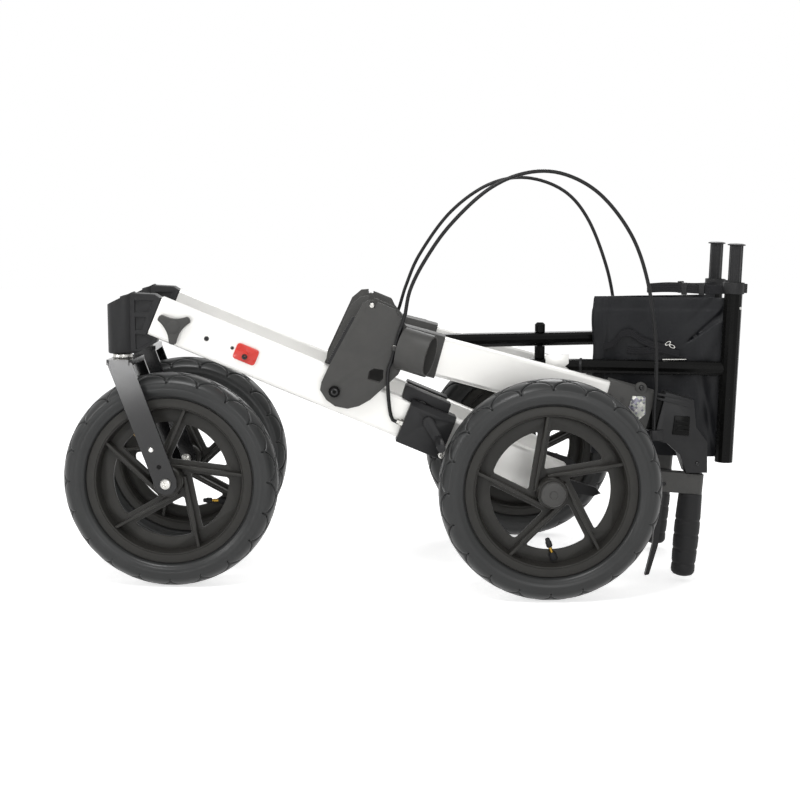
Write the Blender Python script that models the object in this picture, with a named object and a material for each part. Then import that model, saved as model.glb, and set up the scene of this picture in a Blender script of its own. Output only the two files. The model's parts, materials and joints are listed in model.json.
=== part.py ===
# Folded rollator with an X-braced seat, large pneumatic wheels and telescopic handles.
# Metres, +Z up. The front of the rollator points along -X and its left side along -Y.
# Origin: on the floor, under the middle of the folded rollator.

import bpy
import bmesh
import math
from math import cos, pi, radians, sin
from mathutils import Matrix, Vector

for old in list(bpy.data.objects):
    bpy.data.objects.remove(old, do_unlink=True)

# Running and assembly clearances
GAP = 0.0003
SLIDE_GAP = 0.0008

# Wheels
TYRE_RADIUS = 0.159
TYRE_WIDTH = 0.055
BEAD_RADIUS = 0.1195
TYRE_WALL = 0.004
RIM_WIDTH = 0.040
RIM_DEPTH = 0.014
FLANGE_HEIGHT = 0.003
WELL_DEPTH = 0.004
HUB_RADIUS = 0.021
FRONT_HUB_WIDTH = 0.062
REAR_HUB_WIDTH = 0.066
SPOKES = 5
SPOKE_WIDTH = 0.013
SPOKE_THICK = 0.016
SPOKE_SWEEP = radians(-78)
SPOKE_START = {"front": radians(83), "rear": radians(99.3)}
WHEEL_SEGMENTS = 28
HUB_SEGMENTS = 16

# Layout seen from the side
FRONT_AXLE_X = -0.3483
REAR_AXLE_X = 0.1999
TRAIL = 0.0683
REAR_WHEEL_Y = 0.215
SIDE_Y = 0.110
STEER_REST = {"left": radians(-4), "right": 0.0}

# Chassis and upright profiles
BEAM_WIDTH = 0.030
BEAM_HEIGHT = 0.059
BEAM_WALL = 0.0025
BEAM_CORNER = 0.005
CHASSIS_SLOPE = radians(22.8)
CHASSIS_FRONT_X = -0.3670
CHASSIS_FRONT_Z = 0.4005
CHASSIS_END_PAST_AXLE = 0.024

# Steering head, fork and front axle
HEAD_RADIUS = 0.0205
HEAD_BOTTOM = 0.3455
HEAD_TOP = 0.4180
HEAD_SLOPE = radians(22.6)
HEAD_SHOULDER = 0.0147
HEAD_WEB_WIDTH = 0.024
TENON_LENGTH = 0.045
STEERER_RADIUS = 0.0105
STEERER_LENGTH = 0.045
NECK_RADIUS = 0.0125
HEAD_SIDES = 20
STEERER_SIDES = 16
CROWN_THICK = 0.008
CROWN_LENGTH = 0.038
CROWN_BACK = 0.004
CROWN_DROP = 0.006
CROWN_LIP = 0.0012
CROWN_CHAMFER = 0.005
LEG_THICK = 0.006
LEG_INSIDE = 0.0365
LEG_TOP_WIDTH = 0.036
LEG_END_RADIUS = 0.0165
AXLE_RADIUS = 0.006
AXLE_HEAD_RADIUS = 0.0095
AXLE_HEAD = 0.005

# Rear axle and kerb lever
REAR_AXLE_RADIUS = 0.008
KERB_BAR_LENGTH = 0.088
KERB_BAR_HEIGHT = 0.022
KERB_BAR_THICK = 0.008
KERB_BAR_SLOPE = radians(14)

# Star knob and stop catch, at distances along the chassis beam from its front end
KNOB_ALONG = 0.032
KNOB_ABOVE = -0.003
KNOB_RADIUS = 0.0235
KNOB_THICK = 0.012
KNOB_TURN = radians(42)
KNOB_STUD = 0.004
KNOB_STANDOFF = 0.002
CATCH_ALONG = 0.143
CATCH_LENGTH = 0.034
CATCH_HEIGHT = 0.024
CATCH_THICK = 0.006
CATCH_STUD = 0.0035

# Folding knuckle. Points of its side plates are measured from the pivot, along X and Z.
PIVOT_ALONG = 0.282
PIVOT_RADIUS = 0.006
PIVOT_HEAD_RADIUS = 0.0085
PLATE_THICK = 0.004
OUTER_PLATE_GAP = 0.0085
INNER_PLATE_GAP = 0.0005
TOWER_ANGLE = radians(66)
TOWER_LENGTH = 0.145
OUTER_PLATE = [(-0.0222, 0.0300), (-0.0226, 0.0043), (-0.0199, -0.0065), (-0.0057, -0.0162),
               (0.0096, -0.0195), (0.0277, -0.0156), (0.0412, -0.0055), (0.0525, 0.0095),
               (0.0650, 0.0370), (0.0750, 0.0600),
               (0.0780, 0.1200), (0.0500, 0.1330), (0.0402, 0.1380), (0.0320, 0.1450), (-0.0060, 0.1440),
               (-0.0140, 0.1340)]
INNER_PLATE = [(-0.0293, 0.0300), (-0.0226, 0.0043), (-0.0199, -0.0065), (-0.0057, -0.0162),
               (0.0096, -0.0195), (0.0277, -0.0156), (0.0412, -0.0055), (0.0525, 0.0095),
               (0.0650, 0.0370), (0.0750, 0.0600),
               (0.0780, 0.1200), (0.0500, 0.1330), (0.0402, 0.1390), (0.0320, 0.1460), (-0.0080, 0.1460),
               (-0.0190, 0.1400), (-0.0275, 0.1230)]
WEB_OFFSET = 0.0302
WEB_THICK = 0.004
NOTCH_WIDTH = 0.010
COLLAR_WALL = 0.003
COLLAR_LENGTH = 0.083
CUP_HALF_HEIGHT = 0.031
CUP_HALF_WIDTH = 0.021
CUP_WALL = 0.003
CUP_LENGTH = 0.046
CUP_MOUTH_ALONG = 0.0666
CUP_DEPTH = 0.028
CUP_TURN = radians(25)
CUP_OUT = 0.050
CUP_SIDES = 20

# Upright beam, telescopic stem and end bracket
UPRIGHT_SLOPE = radians(15.1)
UPRIGHT_START = Vector((0.074, 0.070))
UPRIGHT_LENGTH = 0.351
BRACKET_ON_BEAM = 0.016
BRACKET_PAST_BEAM = 0.053
BRACKET_WALL = 0.004
STEM_LENGTH = 0.300
STEM_OUT = 0.098
STEM_WALL = 0.002

# Handle
CASTING_HALF = 0.0175
STEM_IN_CASTING = 0.030
CASTING_SHAPE = [(0.0085, 0.0351), (0.0494, 0.0232), (0.0541, -0.0170), (0.0710, -0.0394), (0.0722, -0.0851),
                 (0.0409, -0.0851), (0.0311, -0.0580), (0.0121, -0.0410), (-0.0085, -0.0354)]
BAR_PLACE = Vector((0.0552, 0, -0.0851))
HANDLE_LEAN = radians(4.4)
BAR_RADIUS = 0.011
BAR_WALL = 0.002
BAR_SIDES = 14
BAR_LENGTH = 0.158
BAR_IN_CASTING = 0.028
CLAMP_HEIGHT = 0.030
CLAMP_HALF = 0.014
GRIP_RADIUS = 0.0188
GRIP_LENGTH = 0.126
LEVER_LENGTH = 0.140
LEVER_THICK = 0.007
LEVER_WIDTH = 0.014
LEVER_OFFSET = 0.056
LEVER_PIN = 0.003

# Tyre brake
BRAKE_ALONG = 0.392
BRAKE_LENGTH = 0.070
BRAKE_SHELL = 0.003
BRAKE_OUT = 0.019
BRAKE_PIN_ALONG = 0.033
BRAKE_PIN_ABOVE = 0.012
SHOE_ANGLE = radians(158)
SHOE_GAP = 0.003
SHOE_RADIUS = 0.006
SHOE_PIN = 0.004
ARM_THICK = 0.006

# Seat scissor
CROSS_X = 0.208
CROSS_HALF = 0.2804
RAIL_Y = 0.060
ARM_RADIUS = 0.011
ARM_WALL = 0.002
ARM_SIDES = 12
ARM_Z = {"left": 0.3145, "right": 0.3555}
RAIL_RADIUS = 0.0135
RAIL_WALL = 0.002
RAIL_SIDES = 14
RAIL_BOTTOM = 0.172
RAIL_TOP = 0.441
RAIL_LEAN = radians(1.8)
PLUG_LENGTH = 0.062
PLUG_RADIUS = 0.0115
PLUG_HEAD = 0.0135
PLUG_IN_RAIL = 0.030
CROSS_BOLT_RADIUS = 0.004
CROSS_KNOB_RADIUS = 0.008
CROSS_KNOB = 0.014
PIN_RADIUS = 0.005
BRACKET_THICK = 0.006
BRACKET_HALF = 0.013

# Fabric
SLING_THICK = 0.0022
SLING_DEPTH = 0.1918
SLING_TOP = 0.421
SLING_BOTTOM = 0.177
SLING_FOLD_HALF = 0.0042
STRAP_THICK = 0.0022
STRAP_HEIGHT = 0.0135
STRAP_TOP = 0.4405
STRAP_REACH = 0.119
STRAP_HALF = 0.009

# Cables
CABLE_RADIUS = 0.00275
CABLE_STEP = 0.016
CABLE_OUT = 0.006
CABLE_RUN_IN = 0.016
CABLE_CREST = {
    "left": [(-0.0050, 0.4000), (0.0029, 0.4385), (0.0245, 0.4816), (0.0603, 0.5316), (0.1138, 0.5814),
             (0.1674, 0.6053), (0.2212, 0.6048), (0.2756, 0.5761), (0.3218, 0.5190), (0.3474, 0.4525),
             (0.3612, 0.3690), (0.3635, 0.3000)],
    "right": [(-0.0055, 0.3960), (0.0055, 0.4315), (0.0278, 0.4821), (0.0763, 0.5485), (0.1367, 0.5926),
              (0.1974, 0.6046), (0.2584, 0.5846), (0.2997, 0.5384), (0.3317, 0.4595), (0.3470, 0.3850),
              (0.3575, 0.3100)],
}
CABLE_BEND = [(-0.0292, 0.3200), (-0.0285, 0.2830)]
CABLE_ENTRY_LOW = 0.0055
GUIDE_PLACE = Vector((-0.0189, 0, 0.3545))
GUIDE_HALF = 0.0035
GUIDE_WIDE = 0.005
GUIDE_LEAN = radians(15)
PORT_PLACE = Vector((0.3615, 0, 0.2245))
PORT_HALF = 0.0075
PORT_WIDE = 0.005
PORT_REACH = 0.014

SIDES = {"left": -1, "right": 1}

# Derived places
AXLE_Z = TYRE_RADIUS
STEER_X = FRONT_AXLE_X - TRAIL
CHASSIS_DIR = Vector((cos(CHASSIS_SLOPE), 0, -sin(CHASSIS_SLOPE)))
CHASSIS_UP = Vector((sin(CHASSIS_SLOPE), 0, cos(CHASSIS_SLOPE)))
CHASSIS_FRONT = Vector((CHASSIS_FRONT_X, 0, CHASSIS_FRONT_Z))
UPRIGHT_DIR = Vector((cos(UPRIGHT_SLOPE), 0, -sin(UPRIGHT_SLOPE)))
UPRIGHT_UP = Vector((sin(UPRIGHT_SLOPE), 0, cos(UPRIGHT_SLOPE)))
PIVOT = CHASSIS_FRONT + CHASSIS_DIR * PIVOT_ALONG
TOWER_DIR = Vector((cos(TOWER_ANGLE), 0, sin(TOWER_ANGLE)))
TOWER_SIDE = Vector((sin(TOWER_ANGLE), 0, -cos(TOWER_ANGLE)))
UPRIGHT_ORIGIN = PIVOT + Vector((UPRIGHT_START.x, 0, UPRIGHT_START.y))
UPRIGHT_END = UPRIGHT_ORIGIN + UPRIGHT_DIR * UPRIGHT_LENGTH
CASTING_FACE = UPRIGHT_END + UPRIGHT_DIR * (STEM_OUT - STEM_IN_CASTING)
BAR_DIR = Vector((-sin(HANDLE_LEAN), 0, -cos(HANDLE_LEAN)))
BAR_SIDE = Vector((cos(HANDLE_LEAN), 0, -sin(HANDLE_LEAN)))
OUTER_PLATE_IN = BEAM_WIDTH / 2 + OUTER_PLATE_GAP
OUTER_PLATE_OUT = OUTER_PLATE_IN + PLATE_THICK
GUIDE_DIR = Vector((sin(GUIDE_LEAN), 0, cos(GUIDE_LEAN)))
GUIDE_ACROSS = Vector((cos(GUIDE_LEAN), 0, -sin(GUIDE_LEAN)))
INNER_PLATE_IN = BEAM_WIDTH / 2 + INNER_PLATE_GAP
INNER_PLATE_OUT = INNER_PLATE_IN + PLATE_THICK

bodies = {}


def body(name, place=(0, 0, 0), parent=None):
    """An empty on the joint's axis, which the moving pieces hang from."""
    empty = bpy.data.objects.new("body_" + name, None)
    empty.empty_display_size = 0.02
    bpy.context.collection.objects.link(empty)
    world = Vector(place)
    if parent:
        empty.parent = bodies[parent][0]
        empty.location = world - bodies[parent][1]
    else:
        empty.location = world
    bodies[name] = (empty, world)


def material(name, colour, roughness, metallic=0.0):
    made = bpy.data.materials.new(name)
    made.use_nodes = True
    shader = made.node_tree.nodes["Principled BSDF"]
    shader.inputs["Base Color"].default_value = (*colour, 1)
    shader.inputs["Roughness"].default_value = roughness
    shader.inputs["Metallic"].default_value = metallic
    made.diffuse_color = (*colour, 1)
    return made


FINISHES = {
    "satin_aluminium": ((0.83, 0.83, 0.81), 0.35, 0.6),
    "grey_polymer": ((0.045, 0.045, 0.047), 0.50, 0.0),
    "black_polymer": ((0.020, 0.020, 0.022), 0.45, 0.0),
    "gloss_black_steel": ((0.012, 0.012, 0.013), 0.18, 0.2),
    "matt_black_steel": ((0.016, 0.016, 0.017), 0.40, 0.1),
    "bright_steel": ((0.62, 0.62, 0.60), 0.25, 1.0),
    "tyre_rubber": ((0.022, 0.023, 0.025), 0.75, 0.0),
    "grip_rubber": ((0.030, 0.030, 0.032), 0.70, 0.0),
    "rim_polymer": ((0.040, 0.041, 0.042), 0.55, 0.0),
    "red_polymer": ((0.68, 0.03, 0.02), 0.35, 0.0),
    "black_fabric": ((0.012, 0.013, 0.016), 0.85, 0.0),
    "cable_jacket": ((0.014, 0.014, 0.015), 0.40, 0.0),
}


def finish(mesh, name, owner, look, smooth=35):
    """Makes the named object of a mesh drawn in world places, and hangs it on its body."""
    empty, origin = bodies[owner]
    mesh.transform(Matrix.Translation(-origin))
    mesh.name = name
    piece = bpy.data.objects.new(name, mesh)
    bpy.context.collection.objects.link(piece)
    piece.parent = empty
    mesh.materials.clear()
    mesh.materials.append(material(name + "_finish", *FINISHES[look]))
    mesh.shade_smooth()
    mesh.set_sharp_from_angle(angle=radians(smooth))
    return piece


def to_mesh(bm, name="shape"):
    bmesh.ops.remove_doubles(bm, verts=bm.verts, dist=1e-6)
    bmesh.ops.recalc_face_normals(bm, faces=bm.faces)
    mesh = bpy.data.meshes.new(name)
    bm.to_mesh(mesh)
    bm.free()
    return mesh


def prism(outline, low, high, frame=None):
    """A closed outline of (a, b) points, extruded from low to high along the third axis."""
    bm = bmesh.new()
    ring = [bm.verts.new((a, b, low)) for a, b in outline]
    face = bm.faces.new(ring)
    grown = bmesh.ops.extrude_face_region(bm, geom=[face])
    moved = [item for item in grown["geom"] if isinstance(item, bmesh.types.BMVert)]
    bmesh.ops.translate(bm, verts=moved, vec=(0, 0, high - low))
    if frame:
        bmesh.ops.transform(bm, matrix=frame, verts=bm.verts)
    return to_mesh(bm)


def axes(origin, first, second, third):
    """The matrix that takes the three axes to the given directions at the origin."""
    turned = Matrix((first, second, third)).transposed().to_4x4()
    return Matrix.Translation(origin) @ turned


def side_frame(origin, along, up, side):
    """Drawn in (along, up), extruded outwards from the middle plane of one side."""
    return axes(Vector(origin) + Vector((0, side * SIDE_Y, 0)), along, up, Vector((0, side, 0)))


def flat_frame(side):
    return side_frame((0, 0, 0), Vector((1, 0, 0)), Vector((0, 0, 1)), side)


def rounded(width, height, radius, steps=2):
    """Rectangle centred on the origin with round corners."""
    points = []
    corners = [(1, 1, 0), (-1, 1, 90), (-1, -1, 180), (1, -1, 270)]
    for sx, sy, start in corners:
        for step in range(steps + 1):
            angle = radians(start + 90 * step / steps)
            points.append((sx * (width / 2 - radius) + radius * cos(angle),
                           sy * (height / 2 - radius) + radius * sin(angle)))
    return points


def chamfered(width, height, corner):
    """Rectangle centred on the origin with its corners cut off."""
    return rounded(width, height, corner, 1)


def turned(profile, origin, axis, sides, closed=True):
    """A profile of (radius, along) points, spun about the axis through the origin."""
    axis = Vector(axis).normalized()
    helper = Vector((0, 0, 1)) if abs(axis.z) < 0.9 else Vector((1, 0, 0))
    out = axis.cross(helper).normalized()
    bm = bmesh.new()
    points = [bm.verts.new(Vector(origin) + out * r + axis * along) for r, along in profile]
    edges = [bm.edges.new(pair) for pair in zip(points, points[1:])]
    if closed:
        edges.append(bm.edges.new((points[-1], points[0])))
    bmesh.ops.spin(bm, geom=points + edges, cent=origin, axis=axis, angle=2 * pi, steps=sides,
                   use_merge=True)
    return to_mesh(bm)


def rod(start, end, radius, sides=16):
    """A plain round bar between two points."""
    start = Vector(start)
    span = Vector(end) - start
    profile = [(0, 0), (radius, 0), (radius, span.length), (0, span.length)]
    return turned(profile, start, span, sides, closed=False)


def combine(first, second, operation="UNION"):
    """Boolean of two meshes. Both are used up."""
    target = bpy.data.objects.new("target", first)
    tool = bpy.data.objects.new("tool", second)
    for item in (target, tool):
        bpy.context.collection.objects.link(item)
    step = target.modifiers.new("step", "BOOLEAN")
    step.operation = operation
    step.solver = "EXACT"
    step.object = tool
    view = bpy.context.evaluated_depsgraph_get()
    result = bpy.data.meshes.new_from_object(target.evaluated_get(view))
    for item in (target, tool):
        bpy.data.objects.remove(item, do_unlink=True)
    return result


def joined(first, *others):
    for other in others:
        first = combine(first, other, "UNION")
    return first


def cut(first, *tools):
    for tool in tools:
        first = combine(first, tool, "DIFFERENCE")
    return first


def profile_tube(origin, along, up, side, length, wall, width=BEAM_WIDTH, height=BEAM_HEIGHT):
    """Hollow rectangular profile with round corners and open ends, as one closed skin."""
    across = Vector((0, side, 0))
    frame = axes(Vector(origin) + Vector((0, side * SIDE_Y, 0)), up, across, along)
    outer = rounded(height, width, BEAM_CORNER)
    inner = rounded(height - 2 * wall, width - 2 * wall, max(BEAM_CORNER - wall, 0.001))
    bm = bmesh.new()
    rings = []
    for shape in (outer, inner):
        for level in (0, length):
            rings.append([bm.verts.new((a, b, level)) for a, b in shape])
    outer_low, outer_high, inner_low, inner_high = rings
    count = len(outer)
    for one, two in ((outer_low, outer_high), (outer_high, inner_high),
                     (inner_high, inner_low), (inner_low, outer_low)):
        for i in range(count):
            j = (i + 1) % count
            bm.faces.new((one[i], one[j], two[j], two[i]))
    bmesh.ops.transform(bm, matrix=frame, verts=bm.verts)
    return to_mesh(bm)


def at_side(point, side, out=0.0):
    """A point of the side's middle plane, moved outwards."""
    return Vector((point[0], side * (SIDE_Y + out), point[2]))


def across(point, side, start, end, radius, sides=16):
    """A round bar along Y through a point of the side view."""
    return rod(at_side(point, side, start), at_side(point, side, end), radius, sides)


def tyre(centre, axis):
    """Open-bellied tyre: a rounded casing with two beads on the rim."""
    half = TYRE_WIDTH / 2
    bead = RIM_WIDTH / 2 - FLANGE_HEIGHT - GAP
    over_flange = BEAD_RADIUS + FLANGE_HEIGHT + GAP
    mid_radius = (TYRE_RADIUS + BEAD_RADIUS) / 2 + 0.003
    outer = [(over_flange, bead), (over_flange, RIM_WIDTH / 2 + 0.001)]
    outer.append((mid_radius - 0.004, half))
    outer.append((TYRE_RADIUS - 0.009, half * 0.82))
    outer.append((TYRE_RADIUS, half * 0.26))
    mirrored = [(r, -a) for r, a in reversed(outer)]
    inside = [(BEAD_RADIUS + GAP, -bead), (BEAD_RADIUS + GAP, -bead + TYRE_WALL),
              (TYRE_RADIUS - TYRE_WALL * 1.6, 0), (BEAD_RADIUS + GAP, bead - TYRE_WALL),
              (BEAD_RADIUS + GAP, bead)]
    return turned(outer + mirrored + inside, centre, axis, WHEEL_SEGMENTS)


def rim(centre, axis, hub_width, bore, start):
    """Moulded rim: a dished ring, a hub, and spokes that leave the hub on a slant."""
    half = RIM_WIDTH / 2
    ring_inner = BEAD_RADIUS - RIM_DEPTH
    ring = [(ring_inner, -half * 0.8), (BEAD_RADIUS + FLANGE_HEIGHT, -half),
            (BEAD_RADIUS + FLANGE_HEIGHT, -half + FLANGE_HEIGHT * 0.9), (BEAD_RADIUS, -half + FLANGE_HEIGHT),
            (BEAD_RADIUS - WELL_DEPTH, -half * 0.45), (BEAD_RADIUS - WELL_DEPTH, half * 0.45),
            (BEAD_RADIUS, half - FLANGE_HEIGHT), (BEAD_RADIUS + FLANGE_HEIGHT, half - FLANGE_HEIGHT * 0.9),
            (BEAD_RADIUS + FLANGE_HEIGHT, half), (ring_inner, half * 0.8)]
    body_mesh = turned(ring, centre, axis, WHEEL_SEGMENTS)
    hub_half = hub_width / 2
    hub = [(bore, -hub_half), (HUB_RADIUS * 0.8, -hub_half), (HUB_RADIUS, -hub_half + 0.006),
           (HUB_RADIUS, hub_half - 0.006), (HUB_RADIUS * 0.8, hub_half), (bore, hub_half)]
    body_mesh = joined(body_mesh, turned(hub, centre, axis, HUB_SEGMENTS))
    axis = Vector(axis).normalized()
    up = Vector((0, 0, 1))
    forward = up.cross(axis)
    for number in range(SPOKES):
        turn = 2 * pi * number / SPOKES + start
        inner = (HUB_RADIUS - 0.003) * Vector((cos(turn), sin(turn)))
        outer = (ring_inner + 0.003) * Vector((cos(turn + SPOKE_SWEEP), sin(turn + SPOKE_SWEEP)))
        span = outer - inner
        normal = Vector((-span.y, span.x)).normalized() * SPOKE_WIDTH / 2
        outline = [inner - normal, outer - normal, outer + normal, inner + normal]
        frame = axes(centre, forward, up, -axis)
        spoke = prism([tuple(p) for p in outline], -SPOKE_THICK / 2, SPOKE_THICK / 2, frame)
        body_mesh = joined(body_mesh, spoke)
    return body_mesh


def turn_about_steering(mesh, side_name, side):
    """Turns a piece of the front wheel about the upright steering axis, as it stands at rest."""
    angle = STEER_REST[side_name]
    origin = Vector((STEER_X, side * SIDE_Y, 0))
    mesh.transform(Matrix.Translation(origin) @ Matrix.Rotation(angle, 4, "Z") @ Matrix.Translation(-origin))
    return mesh


def front_end(side_name, side):
    """Steering head, fork, axle and front wheel."""
    chassis = "chassis_" + side_name
    fork_body = "fork_" + side_name
    wheel_body = "front_wheel_" + side_name
    steer = Vector((STEER_X, side * SIDE_Y, 0))
    axle = Vector((FRONT_AXLE_X, side * SIDE_Y, AXLE_Z))
    turn = Matrix.Rotation(STEER_REST[side_name], 4, "Z")
    axle_turned = steer + turn @ (axle - steer)
    body(fork_body, (steer.x, steer.y, HEAD_BOTTOM), chassis)
    body(wheel_body, axle_turned, fork_body)

    # Head: a barrel with a slanted top, a web up to the beam's end, and a tenon inside the beam
    rise = math.tan(HEAD_SLOPE)
    above_top = HEAD_TOP + 3 * HEAD_RADIUS * rise
    barrel = rod((steer.x, steer.y, HEAD_BOTTOM), (steer.x, steer.y, above_top), HEAD_RADIUS, HEAD_SIDES)
    left, right = STEER_X - 2 * HEAD_RADIUS, STEER_X + 2 * HEAD_RADIUS
    slant = [(left, HEAD_TOP - HEAD_RADIUS * rise), (right, above_top), (left, above_top)]
    barrel = cut(barrel, prism(slant, -HEAD_RADIUS * 2, HEAD_RADIUS * 2, flat_frame(side)))
    end_up = CHASSIS_FRONT + CHASSIS_UP * (BEAM_HEIGHT / 2) - CHASSIS_DIR * GAP
    end_low = CHASSIS_FRONT - CHASSIS_UP * (BEAM_HEIGHT / 2) - CHASSIS_DIR * GAP
    shoulder = (STEER_X + HEAD_SHOULDER, HEAD_TOP + (HEAD_RADIUS + HEAD_SHOULDER) * rise)
    web = prism([(STEER_X, HEAD_BOTTOM + 0.004), (end_low.x, end_low.z), (end_up.x, end_up.z), shoulder,
                 (STEER_X, HEAD_TOP + HEAD_RADIUS * rise)],
                -HEAD_WEB_WIDTH / 2, HEAD_WEB_WIDTH / 2, flat_frame(side))
    clear = BEAM_WALL + GAP
    tenon_frame = axes(at_side(CHASSIS_FRONT, side), CHASSIS_UP, Vector((0, 1, 0)), CHASSIS_DIR)
    tenon = prism(rounded(BEAM_HEIGHT - 2 * clear, BEAM_WIDTH - 2 * clear, 0.002), -0.004, TENON_LENGTH,
                  tenon_frame)
    knob_at = CHASSIS_FRONT + CHASSIS_DIR * KNOB_ALONG + CHASSIS_UP * KNOB_ABOVE
    head = joined(barrel, web, tenon)
    steerer_hole = rod((steer.x, steer.y, HEAD_BOTTOM - 0.01),
                       (steer.x, steer.y, HEAD_BOTTOM + STEERER_LENGTH + 0.002),
                       STEERER_RADIUS + GAP, STEERER_SIDES)
    head = cut(head, steerer_hole, across(knob_at, side, -0.002, BEAM_WIDTH, KNOB_STUD + GAP, 12))
    finish(head, "steering_head_" + side_name, chassis, "black_polymer")

    # Fork: crown plate with the steerer pin above it and two tapering legs
    crown_top = HEAD_BOTTOM - CROWN_DROP
    crown_low = crown_top - CROWN_THICK
    leg_out = LEG_INSIDE + LEG_THICK
    crown_x = STEER_X + CROWN_BACK
    crown_out = leg_out + CROWN_LIP
    crown = prism(chamfered(CROWN_LENGTH, 2 * crown_out, CROWN_CHAMFER), crown_low, crown_top,
                  Matrix.Translation((crown_x, side * SIDE_Y, 0)))
    fork = joined(crown,
                  rod((steer.x, steer.y, crown_top - 0.002), (steer.x, steer.y, HEAD_BOTTOM - GAP),
                      NECK_RADIUS, STEERER_SIDES),
                  rod((steer.x, steer.y, crown_top - 0.002), (steer.x, steer.y, HEAD_BOTTOM + STEERER_LENGTH),
                      STEERER_RADIUS, STEERER_SIDES))
    tip = (FRONT_AXLE_X, AXLE_Z)
    arc = [(tip[0] + LEG_END_RADIUS * cos(radians(a)), tip[1] + LEG_END_RADIUS * sin(radians(a)))
           for a in range(-170, 21, 38)]
    leg = arc + [(crown_x + LEG_TOP_WIDTH / 2, crown_top - 0.004),
                 (crown_x - LEG_TOP_WIDTH / 2, crown_top - 0.004)]
    for way in (-1, 1):
        low, high = sorted((way * LEG_INSIDE, way * leg_out))
        fork = joined(fork, prism(leg, low, high, flat_frame(side)))
    fork = cut(fork, across(axle, side, -0.06, 0.06, AXLE_RADIUS + GAP, 16))
    finish(turn_about_steering(fork, side_name, side), "fork_" + side_name, fork_body, "gloss_black_steel")

    # Axle bolt: head outside one leg, nut outside the other
    reach = leg_out + GAP
    bolt = turned([(0, -reach - AXLE_HEAD), (AXLE_HEAD_RADIUS, -reach - AXLE_HEAD),
                   (AXLE_HEAD_RADIUS, -reach),
                   (AXLE_RADIUS, -reach), (AXLE_RADIUS, reach), (AXLE_HEAD_RADIUS, reach),
                   (AXLE_HEAD_RADIUS, reach + AXLE_HEAD), (0, reach + AXLE_HEAD)],
                  axle, (0, 1, 0), 16, closed=False)
    finish(turn_about_steering(bolt, side_name, side), "front_axle_" + side_name, fork_body, "bright_steel")

    wheel_rim = rim(axle, (0, side, 0), FRONT_HUB_WIDTH, AXLE_RADIUS + GAP, SPOKE_START["front"])
    wheel_rim = turn_about_steering(wheel_rim, side_name, side)
    finish(wheel_rim, "front_rim_" + side_name, wheel_body, "rim_polymer")
    wheel_tyre = turn_about_steering(tyre(axle, (0, side, 0)), side_name, side)
    finish(wheel_tyre, "front_tyre_" + side_name, wheel_body, "tyre_rubber")


def rear_end(side_name, side):
    """Rear axle, wheel and kerb lever."""
    chassis = "chassis_" + side_name
    wheel_body = "rear_wheel_" + side_name
    centre = Vector((REAR_AXLE_X, side * REAR_WHEEL_Y, AXLE_Z))
    body(wheel_body, centre, chassis)
    hub_half = REAR_HUB_WIDTH / 2
    inner = -BEAM_WIDTH / 2 - GAP
    outer = REAR_WHEEL_Y - SIDE_Y + hub_half
    shoulder = outer - REAR_HUB_WIDTH - GAP
    lever_out = BEAM_WIDTH / 2 + GAP + KERB_BAR_THICK
    axle = turned([(0, inner - AXLE_HEAD), (AXLE_HEAD_RADIUS + 0.002, inner - AXLE_HEAD),
                   (AXLE_HEAD_RADIUS + 0.002, inner), (REAR_AXLE_RADIUS, inner),
                   (REAR_AXLE_RADIUS, lever_out + GAP), (REAR_AXLE_RADIUS + 0.004, lever_out + GAP),
                   (REAR_AXLE_RADIUS + 0.004, shoulder), (REAR_AXLE_RADIUS, shoulder),
                   (REAR_AXLE_RADIUS, outer + GAP), (REAR_AXLE_RADIUS + 0.005, outer + GAP),
                   (REAR_AXLE_RADIUS + 0.004, outer + 0.004), (0, outer + 0.004)],
                  at_side((REAR_AXLE_X, 0, AXLE_Z), side), (0, side, 0), 16, closed=False)
    finish(axle, "rear_axle_" + side_name, chassis, "bright_steel")
    finish(rim(centre, (0, side, 0), REAR_HUB_WIDTH, REAR_AXLE_RADIUS + GAP, SPOKE_START["rear"]),
           "rear_rim_" + side_name, wheel_body, "rim_polymer")
    finish(tyre(centre, (0, side, 0)), "rear_tyre_" + side_name, wheel_body, "tyre_rubber")

    along = Vector((cos(KERB_BAR_SLOPE), 0, -sin(KERB_BAR_SLOPE)))
    up = Vector((sin(KERB_BAR_SLOPE), 0, cos(KERB_BAR_SLOPE)))
    half = KERB_BAR_HEIGHT / 2
    arc = [(half * cos(radians(a)), half * sin(radians(a))) for a in range(90, 271, 36)]
    bar = arc + [(KERB_BAR_LENGTH - 0.01, -half * 0.6), (KERB_BAR_LENGTH, 0),
                 (KERB_BAR_LENGTH - 0.01, half * 0.6)]
    frame = side_frame((REAR_AXLE_X, 0, AXLE_Z), along, up, side)
    lever = prism(bar, BEAM_WIDTH / 2 + GAP, lever_out, frame)
    lever = cut(lever, across((REAR_AXLE_X, 0, AXLE_Z), side, 0, 0.05, REAR_AXLE_RADIUS + GAP, 16))
    finish(lever, "kerb_lever_" + side_name, chassis, "black_polymer")


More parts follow.
